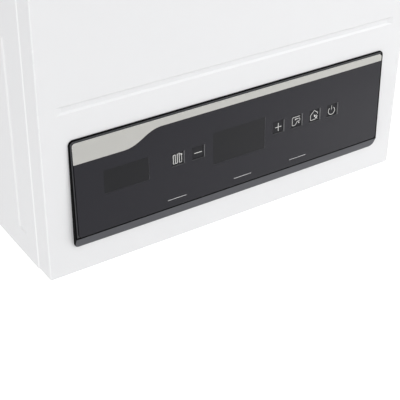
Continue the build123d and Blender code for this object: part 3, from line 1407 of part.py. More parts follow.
# Return block: filter, filling valve, cold water duct and the ports of the plate heat exchanger.
sensor_top = tail_top + sensor_height
cold_z = sensor_top + stack_port_radius + 1
pump_foot = 66.0
filling_body_radius = 11.0
filling_duct_radius = 7.0
filling_bore_low = tail_top + 8.0
filling_stem_top = boss_z + thread_depth
relief_boss_radius = 12.0

with BuildPart() as return_block:
    upright(tail_places[4], block_radius, tail_top, pump_foot)
    upright(tail_places[3], water_block_radius, sensor_top, cold_z + stack_port_radius + 1)
    upright((stack_port_x, -pipe_row), stack_port_radius + 1, cold_z - 2, stack_port_high + stack_port_radius + 1)
    forward(stack_port_x, stack_port_low, stack_port_radius, stack_front, pipe_row)
    forward(stack_port_x, stack_port_high, stack_port_radius, stack_front, pipe_row)
    upright(filling_place, filling_body_radius, filling_bore_low, cold_z + filling_duct_radius + 1)
    across(cold_x, filling_place[0], cold_z, filling_duct_radius)
    across(filling_place[0], return_x, boss_z, filling_duct_radius)
    forward(return_x, boss_z, relief_boss_radius, pipe_row, boss_front)
    upright(filling_place, filling_stem_radius + shaft_clearance, filling_bore_low, filling_stem_top + 2,
            Mode.SUBTRACT)
return_block.part.label = "return_block"
export_step(return_block.part, "parts/return_block.step")

# Filling knob: a fluted knob below the casing on the stem of the filling valve.
filling_knob_radius = 11.0
filling_knob_height = 16.0
filling_knob_gap = 10.0         # casing to the knob
with BuildPart() as filling_knob:
    with BuildSketch(Plane.XY.offset(-filling_knob_gap - filling_knob_height)):
        with Locations(filling_place):
            Circle(filling_knob_radius)
            with PolarLocations(filling_knob_radius * 1.1, 10):
                Circle(filling_knob_radius / 5, mode=Mode.SUBTRACT)
    extrude(amount=filling_knob_height)
    upright(filling_place, filling_stem_radius, -filling_knob_gap, filling_stem_top)
    chamfer(filling_knob.faces().sort_by(Axis.Z)[0].edges(), filling_knob_height / 20)
filling_knob.part.label = "filling_knob"
export_step(filling_knob.part, "parts/filling_knob.step")

# Drain plug: a slotted hexagon on the flow block's boss.
plug_hex_radius = 8.0
plug_head = 8.0
plug_slot = 1.6
with BuildPart() as drain_plug:
    forward(flow_x, boss_z, drain_radius, boss_front - 0.8 * thread_depth, boss_front + seat)
    with BuildSketch(Plane.XZ.offset(boss_front + seat)):
        with Locations((flow_x, boss_z)):
            RegularPolygon(plug_hex_radius, 6, major_radius=False)
    extrude(amount=plug_head)
    with BuildSketch(Plane.XZ.offset(boss_front + seat + plug_head)):
        with Locations((flow_x, boss_z)):
            Rectangle(3 * plug_hex_radius, plug_slot)
    extrude(amount=-plug_head / 4, mode=Mode.SUBTRACT)
drain_plug.part.label = "drain_plug"
export_step(drain_plug.part, "parts/drain_plug.step")

# Relief valve: brass body on the return block, an outlet through the plate, and its turning knob.
relief_radius = 11.0
relief_hex_radius = 13.0
relief_hex_width = 8.0
relief_stem_radius = 3.0
relief_knob_radius = 14.0
relief_knob_depth = 14.0
relief_length = 2 * (-relief_place[1] - boss_front)
relief_front = boss_front + relief_length
with BuildPart() as relief_valve:
    forward(return_x, boss_z, relief_radius, boss_front, relief_front)
    with BuildSketch(Plane.XZ.offset(boss_front + relief_hex_width / 4)):
        with Locations((return_x, boss_z)):
            RegularPolygon(relief_hex_radius, 6)
    extrude(amount=relief_hex_width)
    upright(relief_place, relief_outlet_radius, -tail_drop * 0.7, boss_z)
    upright(relief_place, relief_outlet_radius - relief_wall, -tail_drop * 0.7, boss_z, Mode.SUBTRACT)
    forward(return_x, boss_z, relief_stem_radius + shaft_clearance, relief_front - thread_depth, relief_front,
            Mode.SUBTRACT)
relief_valve.part.label = "relief_valve"
export_step(relief_valve.part, "parts/relief_valve.step")

with BuildPart() as relief_knob:
    forward(return_x, boss_z, relief_stem_radius, relief_front - 0.8 * thread_depth, relief_front + seat)
    with BuildSketch(Plane.XZ.offset(relief_front + seat)):
        with Locations((return_x, boss_z)):
            Circle(relief_knob_radius)
            with PolarLocations(relief_knob_radius + 1, 8):
                Circle(relief_stem_radius, mode=Mode.SUBTRACT)
    extrude(amount=relief_knob_depth)
relief_knob.part.label = "relief_knob"
export_step(relief_knob.part, "parts/relief_knob.step")

# Pump: volute body with its chamber open to the motor, impeller on the motor's shaft, motor can.
pump_x = return_x
pump_rear = pipe_row - pump_width / 2
pump_front = pump_rear + pump_width
pump_room = 8.0                 # play in front of and behind the pump's impeller, together
pump_edge_radius = 6.0
vent_offset = 20.0
vent_neck = 10.0                # pump to the air vent
chamber_rear = pump_front - pump_impeller_width - pump_room
pump_socket_top = pump_axis_height + pump_radius + socket_depth
vent_place = (pump_x - vent_offset, -pipe_row)
vent_foot = pump_axis_height + pump_radius + vent_neck

with BuildPart() as pump_body:
    forward(pump_x, pump_axis_height, pump_radius, pump_rear, pump_front)
    fillet(pump_body.faces().sort_by(Axis.Y)[-1].edges(), pump_edge_radius)
    upright((pump_x, -pipe_row), block_radius + 2, pump_foot, pump_axis_height)
    upright(riser_places[1], heating_pipe_radius + socket_wall, pump_axis_height, pump_socket_top)
    upright(vent_place, vent_radius - 2, pump_axis_height, vent_foot)
    forward(pump_x, pump_axis_height, pump_chamber_radius, chamber_rear, pump_front, Mode.SUBTRACT)
    upright(riser_places[1], heating_pipe_radius + shaft_clearance, pump_socket_top - socket_depth,
            pump_socket_top, Mode.SUBTRACT)
pump_body.part.label = "pump_body"
export_step(pump_body.part, "parts/pump_body.step")

pump_impeller_rear = chamber_rear + 3.0
shroud = 1.5
vane_thickness = 1.8
with BuildPart() as pump_impeller:
    forward(pump_x, pump_axis_height, pump_impeller_radius, pump_impeller_rear, pump_impeller_rear + shroud)
    with BuildSketch(Plane.XZ.offset(pump_impeller_rear + shroud)):
        with Locations((pump_x, pump_axis_height)):
            Circle(2 * pump_shaft_radius)
            with PolarLocations(pump_impeller_radius * 0.6, 7):
                Rectangle(pump_impeller_radius * 0.7, vane_thickness, rotation=-35)
    extrude(amount=pump_impeller_width - 2 * shroud)
    forward(pump_x, pump_axis_height, pump_impeller_radius, pump_impeller_rear + pump_impeller_width - shroud,
            pump_impeller_rear + pump_impeller_width)
    forward(pump_x, pump_axis_height, pump_shaft_radius, pump_impeller_rear, pump_front + pump_motor_length / 2)
pump_impeller.part.label = "pump_impeller"
export_step(pump_impeller.part, "parts/pump_impeller.step")

motor_flange_width = 8.0
bleed_radius = 9.0              # bleed screw in the middle of the motor
bleed_head = 3.0
terminal_box_width = 44.0
terminal_box_rise = 12.0
with BuildPart() as pump_motor:
    forward(pump_x, pump_axis_height, pump_motor_radius, pump_front, pump_front + motor_flange_width)
    forward(pump_x, pump_axis_height, pump_motor_radius * 0.86, pump_front + motor_flange_width,
            pump_front + pump_motor_length)
    fillet(pump_motor.faces().sort_by(Axis.Y)[0].edges(), pump_edge_radius - 1)
    forward(pump_x, pump_axis_height, bleed_radius, pump_front + pump_motor_length,
            pump_front + pump_motor_length + bleed_head)
    with BuildSketch(Plane.XY.offset(pump_axis_height)):
        with Locations((pump_x, -pump_front - pump_motor_length / 2)):
            RectangleRounded(terminal_box_width, pump_motor_length * 0.6, terminal_box_rise / 3)
    extrude(amount=pump_motor_radius + terminal_box_rise)
    forward(pump_x, pump_axis_height, pump_shaft_radius + shaft_clearance, pump_front,
            pump_front + pump_motor_length / 2 + bleed_head, Mode.SUBTRACT)
pump_motor.part.label = "pump_motor"
export_step(pump_motor.part, "parts/pump_motor.step")

with BuildPart() as air_vent:
    upright(vent_place, vent_radius, vent_foot, vent_foot + vent_height * 0.7)
    upright(vent_place, vent_radius * 0.6, vent_foot + vent_height * 0.7, vent_foot + vent_height * 0.8)
    upright(vent_place, vent_radius * 0.45, vent_foot + vent_height * 0.8, vent_foot + vent_height)
    chamfer(air_vent.faces().sort_by(Axis.Z)[-1].edges(), 1)
air_vent.part.label = "air_vent"
export_step(air_vent.part, "parts/air_vent.step")

# Flow sensor: a housing on the cold tail with a fixed pin, and the turbine that spins on it.
turbine_low = tail_top + (sensor_height - turbine_height) / 2
pin_radius = 1.5
turbine_room = 3.0              # above and below the turbine
sensor_head_width = 18.0
sensor_head_height = 22.0
vane_sheet = 1.2
with BuildPart() as flow_sensor_body:
    upright(tail_places[3], water_block_radius + 1, tail_top, sensor_top)
    with BuildSketch(Plane.XZ.offset(pipe_row + water_block_radius)):
        with Locations((cold_x, tail_top + sensor_height / 2)):
            RectangleRounded(sensor_head_width, sensor_head_height, sensor_head_width / 9)
    extrude(amount=connector_depth)
    upright(tail_places[3], turbine_radius + pin_radius, turbine_low - turbine_room,
            turbine_low + turbine_height + turbine_room, Mode.SUBTRACT)
    upright(tail_places[3], pin_radius, turbine_low - turbine_room - 1,
            turbine_low + turbine_height + turbine_room + 1)
flow_sensor_body.part.label = "flow_sensor_body"
export_step(flow_sensor_body.part, "parts/flow_sensor_body.step")

with BuildPart() as flow_turbine:
    with BuildSketch(Plane.XY.offset(turbine_low)):
        with Locations(tail_places[3]):
            Circle(2.6 * pin_radius)
            with PolarLocations(turbine_radius * 0.65, 6):
                Rectangle(turbine_radius * 0.7, vane_sheet, rotation=20)
            Circle(pin_radius + shaft_clearance, mode=Mode.SUBTRACT)
    extrude(amount=turbine_height)
flow_turbine.part.label = "flow_turbine"
export_step(flow_turbine.part, "parts/flow_turbine.step")

# Gas valve: cast block over the gas tail with two solenoids, and the pipe up to the burner manifold.
gas_valve_gap = 2.0
gas_foot = 16.0                 # tail to the valve's block
gas_outlet_inset = 22.0
gas_outlet_height = 10.0
gas_pipe_seat = 4.0             # depth of the pipe's seat below the outlet's foot
solenoid_radius = 17.0
solenoid_length = 26.0
solenoid_pin = 6.0
gas_rear = stack_front + gas_valve_gap
gas_front = gas_rear + gas_valve_depth
gas_low = tail_top + gas_foot
gas_top = gas_low + gas_valve_height
gas_outlet_row = gas_front - gas_outlet_inset
with BuildPart() as gas_valve:
    extrude(rect_sketch(Plane.XY.offset(gas_low), -gas_valve_width / 2, gas_valve_width / 2, -gas_front, -gas_rear),
            amount=gas_valve_height)
    fillet(gas_valve.edges().filter_by(Axis.Z), 5)
    upright((gas_x, -pipe_row), block_radius, tail_top, gas_low)
    for z in (gas_low + gas_valve_height * 0.28, gas_low + gas_valve_height * 0.72):
        forward(gas_x, z, solenoid_radius, gas_front, gas_front + solenoid_length)
        forward(gas_x, z, solenoid_pin, gas_front + solenoid_length, gas_front + solenoid_length + solenoid_pin * 0.7)
    upright((gas_x, -gas_outlet_row), gas_pipe_radius + socket_wall, gas_top, gas_top + gas_outlet_height)
    upright((gas_x, -gas_outlet_row), gas_pipe_radius + shaft_clearance, gas_top - gas_pipe_seat,
            gas_top + gas_outlet_height, Mode.SUBTRACT)
gas_valve.part.label = "gas_valve"
export_step(gas_valve.part, "parts/gas_valve.step")

gas_pipe_foot = gas_top - gas_pipe_seat + 1
gas_pipe_head = manifold_foot + manifold_socket - 1
gas_run_z = (gas_top + gas_outlet_height + chamber_bottom) / 2 + 6.0
gas_bend = 20.0
with BuildPart() as gas_pipe:
    with BuildLine() as gas_route:
        FilletPolyline((gas_x, -gas_outlet_row, gas_pipe_foot), (gas_x, -gas_outlet_row, gas_run_z),
                       (gas_x, -gas_riser_row, gas_run_z), (gas_x, -gas_riser_row, gas_pipe_head),
                       radius=gas_bend)
    with BuildSketch(Plane.XY.offset(gas_pipe_foot)):
        with Locations((gas_x, -gas_outlet_row)):
            Circle(gas_pipe_radius)
            Circle(gas_pipe_radius - heating_pipe_wall, mode=Mode.SUBTRACT)
    sweep(path=gas_route.wires()[0])
gas_pipe.part.label = "gas_pipe"
export_step(gas_pipe.part, "parts/gas_pipe.step")

# Heating pipes: copper risers from the flow block and the pump to the two ends of the heat exchanger.
riser_bend = 16.0
left_route = [(-riser_x, -pipe_row, flow_socket_top - socket_depth), (-riser_x, -pipe_row, tube_z),
              (-comb_half, -pipe_row, tube_z)]
right_route = [(riser_x, -pipe_row, pump_socket_top - socket_depth), (riser_x, -pipe_row, tube_z),
               (riser_x, -tube_rows[-1], tube_z), (comb_half, -tube_rows[-1], tube_z)]
with BuildPart() as heating_pipes:
    for route in (left_route, right_route):
        with BuildLine() as riser:
            FilletPolyline(*route, radius=riser_bend)
        with BuildSketch(Plane.XY.offset(route[0][2])):
            with Locations(route[0][:2]):
                Circle(heating_pipe_radius)
                Circle(heating_pipe_radius - heating_pipe_wall, mode=Mode.SUBTRACT)
        sweep(path=riser.wires()[0])
heating_pipes.part.label = "heating_pipes"
export_step(heating_pipes.part, "parts/heating_pipes.step")
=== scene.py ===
import math

import bmesh
import bpy
from mathutils import Matrix, Vector


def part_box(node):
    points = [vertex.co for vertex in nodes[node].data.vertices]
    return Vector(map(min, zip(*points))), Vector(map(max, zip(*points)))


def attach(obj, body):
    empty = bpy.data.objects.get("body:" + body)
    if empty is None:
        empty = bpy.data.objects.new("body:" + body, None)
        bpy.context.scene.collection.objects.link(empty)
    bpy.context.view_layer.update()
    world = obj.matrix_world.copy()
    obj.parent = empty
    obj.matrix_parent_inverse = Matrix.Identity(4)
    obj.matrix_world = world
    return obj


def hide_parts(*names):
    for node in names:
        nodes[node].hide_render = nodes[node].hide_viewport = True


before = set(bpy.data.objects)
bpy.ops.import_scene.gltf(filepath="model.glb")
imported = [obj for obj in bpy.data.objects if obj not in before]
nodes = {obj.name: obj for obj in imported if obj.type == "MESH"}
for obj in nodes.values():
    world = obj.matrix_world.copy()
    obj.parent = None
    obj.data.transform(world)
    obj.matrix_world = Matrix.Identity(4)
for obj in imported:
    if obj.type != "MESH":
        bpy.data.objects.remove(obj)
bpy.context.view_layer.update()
print("boiler frame loaded,", len(nodes), "nodes")

# the photograph's viewing angle
cameraLook = {
    "place": (-0.5190, -1.0324, 0.5766),
    "yaw": 33.822,      # degrees to the right of the wall's normal
    "down": 32.376,
    "roll": 0.7645,
    "focal": 93.90,
    "sensor": 36,
    "reach": 60,        # nothing beyond this is seen
}


def addCamera():
    yaw, down, roll = (math.radians(cameraLook[k]) for k in ("yaw", "down", "roll"))
    ahead = Vector((math.sin(yaw) * math.cos(down), math.cos(yaw) * math.cos(down), -math.sin(down)))
    side = Vector((math.cos(yaw), -math.sin(yaw), 0))
    up = side.cross(ahead)
    turned = side * math.cos(roll) + up * math.sin(roll)
    above = up * math.cos(roll) - side * math.sin(roll)
    data = bpy.data.cameras.new("photoCamera")
    data.lens = cameraLook["focal"]
    data.sensor_width = cameraLook["sensor"]
    data.clip_end = cameraLook["reach"]
    camera = bpy.data.objects.new("photoCamera", data)
    bpy.context.scene.collection.objects.link(camera)
    camera.matrix_world = Matrix.Translation(Vector(cameraLook["place"])) @ Matrix(
        (turned, above, -ahead)).transposed().to_4x4()
    bpy.context.scene.camera = camera


addCamera()
print("camera placed")

# pale room with a soft sky and four disc lamps
room = {
    "floorDrop": 0.75,      # floor below the casing's lower edge
    "floorSize": 16,
    "floorTone": (0.93, 0.93, 0.93, 1),
    "floorRough": 0.9,
    "floorGlow": 0.42,      # what the camera sees on the floor beside its own light
    "sky": 0.61,            # what lights the boiler
    "backdrop": 1.05,       # what the camera sees behind it
    "lampAim": (0, -0.25, 0.2),
}
lamps = {
    "rightBox": {"place": (1.5, -1.7, 0.9), "size": 1.6, "power": 12.5},
    "leftBox": {"place": (-2.3, -0.65, 0.1), "size": 1.0, "power": 14.3},
    "topBox": {"place": (0.2, -1.6, 2.6), "size": 1.6, "power": 24},
    "cardRight": {"place": (1.7, -1.6, -0.1), "size": 0.8, "power": 6, "aim": (1.5, -1.5, -0.75)},
}


def linkNodes(tree, *pairs):
    for source, target in pairs:
        tree.links.new(source, target)


def addMath(tree, what, first, second=0):
    node = tree.nodes.new("ShaderNodeMath")
    node.operation = what
    for slot, value in enumerate((first, second)):
        if isinstance(value, (int, float)):
            node.inputs[slot].default_value = value
        else:
            tree.links.new(value, node.inputs[slot])
    return node.outputs[0]


def addFloor():
    bm = bmesh.new()
    bmesh.ops.create_grid(bm, x_segments=2, y_segments=2, size=room["floorSize"] / 2)
    bmesh.ops.translate(bm, verts=bm.verts, vec=(0, 0, -room["floorDrop"]))
    mesh = bpy.data.meshes.new("studioFloor")
    bm.to_mesh(mesh)
    bm.free()
    floor = bpy.data.objects.new("studioFloor", mesh)
    bpy.context.scene.collection.objects.link(floor)
    material = bpy.data.materials.new("paleFloor")
    material.use_nodes = True
    tree = material.node_tree
    shader = tree.nodes["Principled BSDF"]
    shader.inputs["Base Color"].default_value = room["floorTone"]
    shader.inputs["Roughness"].default_value = room["floorRough"]
    shader.inputs["Emission Color"].default_value = (1, 1, 1, 1)
    ray = tree.nodes.new("ShaderNodeLightPath")
    glow = addMath(tree, "MULTIPLY", ray.outputs["Is Camera Ray"], room["floorGlow"])
    tree.links.new(glow, shader.inputs["Emission Strength"])
    mesh.materials.append(material)


def addSky():
    world = bpy.data.worlds.new("softSky")
    bpy.context.scene.world = world
    world.use_nodes = True
    tree = world.node_tree
    background = tree.nodes["Background"]
    seen = tree.nodes.new("ShaderNodeLightPath")
    mix = tree.nodes.new("ShaderNodeMix")
    mix.inputs[2].default_value = room["sky"]
    mix.inputs[3].default_value = room["backdrop"]
    background.inputs["Color"].default_value = (1, 1, 1, 1)
    linkNodes(tree, (seen.outputs["Is Camera Ray"], mix.inputs[0]),
              (mix.outputs[0], background.inputs["Strength"]))


def addLamps():
    for name, lamp in lamps.items():
        data = bpy.data.lights.new(name, "AREA")
        data.shape = "DISK"
        data.size = lamp["size"]
        data.energy = lamp["power"]
        light = bpy.data.objects.new(name, data)
        bpy.context.scene.collection.objects.link(light)
        light.location = lamp["place"]
        aim = Vector(lamp.get("aim", room["lampAim"]))
        light.rotation_euler = (aim - light.location).to_track_quat("-Z", "Y").to_euler()


addFloor()
addSky()
addLamps()
bpy.context.scene.view_settings.view_transform = "Standard"
print("room lit")

# what the shared surface effects have in common
effects = {
    "patches": (4.0, 0.55),     # detail and roughness of each noise
    "specks": (3.0, 0.5),
    "grain": (2.0, 0.5),
    "speckScale": 17.0,         # how much smaller than the patches the specks are
    "patchShare": 2.0,
    "speckShare": 0.8,
    "bumpHeight": 0.0004,
}


def addSockets(tree, wanted):
    for name, way, kind, start in wanted:
        socket = tree.interface.new_socket(name=name, in_out=way, socket_type=kind)
        if start is not None:
            socket.default_value = start


def addNoise(tree, coords, scale, kind):
    noise = tree.nodes.new("ShaderNodeTexNoise")
    noise.inputs["Detail"].default_value, noise.inputs["Roughness"].default_value = effects[kind]
    linkNodes(tree, (scale, noise.inputs["Scale"]), (coords, noise.inputs["Vector"]))
    return noise.outputs["Fac"]


def makeToneDrift():
    # slow changes of tone and gloss over a surface, as sprayed, moulded or handled skins have
    tree = bpy.data.node_groups.new("toneDrift", "ShaderNodeTree")
    addSockets(tree, [
        ("Colour", "INPUT", "NodeSocketColor", (0.5, 0.5, 0.5, 1)),
        ("Patches", "INPUT", "NodeSocketFloat", 9.0),
        ("Tone", "INPUT", "NodeSocketFloat", 0.03),
        ("Gloss", "INPUT", "NodeSocketFloat", 0.4),
        ("Spread", "INPUT", "NodeSocketFloat", 0.08),
        ("Colour", "OUTPUT", "NodeSocketColor", None),
        ("Roughness", "OUTPUT", "NodeSocketFloat", None)])
    given = tree.nodes.new("NodeGroupInput")
    result = tree.nodes.new("NodeGroupOutput")
    coords = tree.nodes.new("ShaderNodeTexCoord")
    wide = addNoise(tree, coords.outputs["Object"], given.outputs["Patches"], "patches")
    speckScale = addMath(tree, "MULTIPLY", given.outputs["Patches"], effects["speckScale"])
    fine = addNoise(tree, coords.outputs["Object"], speckScale, "specks")
    drift = addMath(tree, "SUBTRACT", wide, 0.5)
    speck = addMath(tree, "SUBTRACT", fine, 0.5)
    level = addMath(tree, "ADD", addMath(tree, "MULTIPLY", drift, effects["patchShare"]),
                    addMath(tree, "MULTIPLY", speck, effects["speckShare"]))
    shade = addMath(tree, "ADD", addMath(tree, "MULTIPLY", level, given.outputs["Tone"]), 1.0)
    tint = tree.nodes.new("ShaderNodeVectorMath")
    tint.operation = "SCALE"
    linkNodes(tree, (given.outputs["Colour"], tint.inputs[0]), (shade, tint.inputs["Scale"]),
              (tint.outputs[0], result.inputs["Colour"]))
    swing = addMath(tree, "MULTIPLY", level, given.outputs["Spread"])
    rough = addMath(tree, "ADD", swing, given.outputs["Gloss"])
    tree.links.new(rough, result.inputs["Roughness"])
    return tree


def makeSkinBump():
    # fine relief: orange peel of a paint, spark texture of a mould, sand skin of a casting
    tree = bpy.data.node_groups.new("skinBump", "ShaderNodeTree")
    addSockets(tree, [
        ("Size", "INPUT", "NodeSocketFloat", 900.0),
        ("Depth", "INPUT", "NodeSocketFloat", 0.1),
        ("Stretch", "INPUT", "NodeSocketVector", (1, 1, 1)),
        ("Normal", "OUTPUT", "NodeSocketVector", None)])
    given = tree.nodes.new("NodeGroupInput")
    result = tree.nodes.new("NodeGroupOutput")
    coords = tree.nodes.new("ShaderNodeTexCoord")
    pull = tree.nodes.new("ShaderNodeVectorMath")
    pull.operation = "MULTIPLY"
    linkNodes(tree, (coords.outputs["Object"], pull.inputs[0]), (given.outputs["Stretch"], pull.inputs[1]))
    grain = addNoise(tree, pull.outputs[0], given.outputs["Size"], "grain")
    bump = tree.nodes.new("ShaderNodeBump")
    bump.inputs["Distance"].default_value = effects["bumpHeight"]
    linkNodes(tree, (given.outputs["Depth"], bump.inputs["Strength"]), (grain, bump.inputs["Height"]),
              (bump.outputs["Normal"], result.inputs["Normal"]))
    return tree


def makePaintedRimShade():
    # a face colour that stops short of the piece's rounded outline and below a height; outside it the edge
    # colour is painted shade
    tree = bpy.data.node_groups.new("paintedRimShade", "ShaderNodeTree")
    addSockets(tree, [
        ("Face", "INPUT", "NodeSocketColor", (0.5, 0.5, 0.5, 1)),
        ("Edge", "INPUT", "NodeSocketColor", (0.1, 0.1, 0.1, 1)),
        ("HalfWidth", "INPUT", "NodeSocketFloat", 0.1),
        ("Top", "INPUT", "NodeSocketFloat", 0.1),
        ("Corner", "INPUT", "NodeSocketFloat", 0.005),
        ("Band", "INPUT", "NodeSocketFloat", 0.001),
        ("Low", "INPUT", "NodeSocketFloat", 0.0),
        ("Feather", "INPUT", "NodeSocketFloat", 0.0003),
        ("Colour", "OUTPUT", "NodeSocketColor", None),
        ("Mask", "OUTPUT", "NodeSocketFloat", None)])
    given = tree.nodes.new("NodeGroupInput")
    result = tree.nodes.new("NodeGroupOutput")
    coords = tree.nodes.new("ShaderNodeTexCoord")
    split = tree.nodes.new("ShaderNodeSeparateXYZ")
    tree.links.new(coords.outputs["Object"], split.inputs[0])
    corner = given.outputs["Corner"]
    across = addMath(tree, "SUBTRACT", addMath(tree, "ABSOLUTE", split.outputs["X"]),
                     addMath(tree, "SUBTRACT", given.outputs["HalfWidth"], corner))
    above = addMath(tree, "SUBTRACT", split.outputs["Z"],
                    addMath(tree, "SUBTRACT", given.outputs["Top"], corner))
    squares = [addMath(tree, "POWER", addMath(tree, "MAXIMUM", gap), 2) for gap in (across, above)]
    beyond = addMath(tree, "SQRT", addMath(tree, "ADD", *squares))
    within = addMath(tree, "MINIMUM", addMath(tree, "MAXIMUM", across, above))
    fromEdge = addMath(tree, "SUBTRACT", corner, addMath(tree, "ADD", beyond, within))
    ramps = []
    for place, limit in ((fromEdge, given.outputs["Band"]), (split.outputs["Z"], given.outputs["Low"])):
        over = addMath(tree, "SUBTRACT", place, limit)
        ramp = addMath(tree, "ADD", addMath(tree, "DIVIDE", over, given.outputs["Feather"]), 0.5)
        ramp.node.use_clamp = True
        ramps.append(ramp)
    mask = addMath(tree, "MULTIPLY", *ramps)
    mix = tree.nodes.new("ShaderNodeMix")
    mix.data_type = "RGBA"
    linkNodes(tree, (mask, mix.inputs[0]), (given.outputs["Edge"], mix.inputs[6]),
              (given.outputs["Face"], mix.inputs[7]), (mix.outputs[2], result.inputs["Colour"]),
              (mask, result.inputs["Mask"]))
    return tree


toneDrift = makeToneDrift()
paintedRimShade = makePaintedRimShade()
skinBump = makeSkinBump()


def placeGroup(tree, group, values):
    node = tree.nodes.new("ShaderNodeGroup")
    node.node_tree = group
    for name, value in values.items():
        node.inputs[name].default_value = value
    return node


plainLook = {
    "metal": 0.0, "ior": 1.5, "patches": 9.0, "tone": 0.03, "spread": 0.06, "grain": 900.0, "depth": 0.1,
    "stretch": (1, 1, 1),
}
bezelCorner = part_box("panel_bezel")[1]      # upper right end of the bezel's box


def makeFinish(name, ownLook):
    look = {**plainLook, **ownLook}
    material = bpy.data.materials.new(name)
    material.use_nodes = True
    tree = material.node_tree
    shader = tree.nodes["Principled BSDF"]
    shader.inputs["Metallic"].default_value = look["metal"]
    shader.inputs["IOR"].default_value = look["ior"]
    tone = placeGroup(tree, toneDrift, {
        "Colour": (*look["colour"], 1), "Patches": look["patches"], "Tone": look["tone"],
        "Gloss": look["gloss"], "Spread": look["spread"]})
    skin = placeGroup(tree, skinBump, {
        "Size": look["grain"], "Depth": look["depth"], "Stretch": look["stretch"]})
    # painted shade: outside the outline and below the low height the face takes the dark edge colour
    if "edge" in look:      # an outlined face, lacquered inside its outline
        shader.inputs["Coat Roughness"].default_value = look["coatGloss"]
        fade = placeGroup(tree, paintedRimShade, {
            "Face": (*look["colour"], 1), "Edge": (*look["edge"], 1), "HalfWidth": bezelCorner.x,
            "Top": bezelCorner.z, "Corner": look["corner"], "Band": look["band"], "Low": look["low"]})
        linkNodes(tree, (fade.outputs["Colour"], tone.inputs["Colour"]),
                  (fade.outputs["Mask"], shader.inputs["Coat Weight"]))
    linkNodes(tree, (tone.outputs["Colour"], shader.inputs["Base Color"]),
              (tone.outputs["Roughness"], shader.inputs["Roughness"]),
              (skin.outputs["Normal"], shader.inputs["Normal"]))
    return material


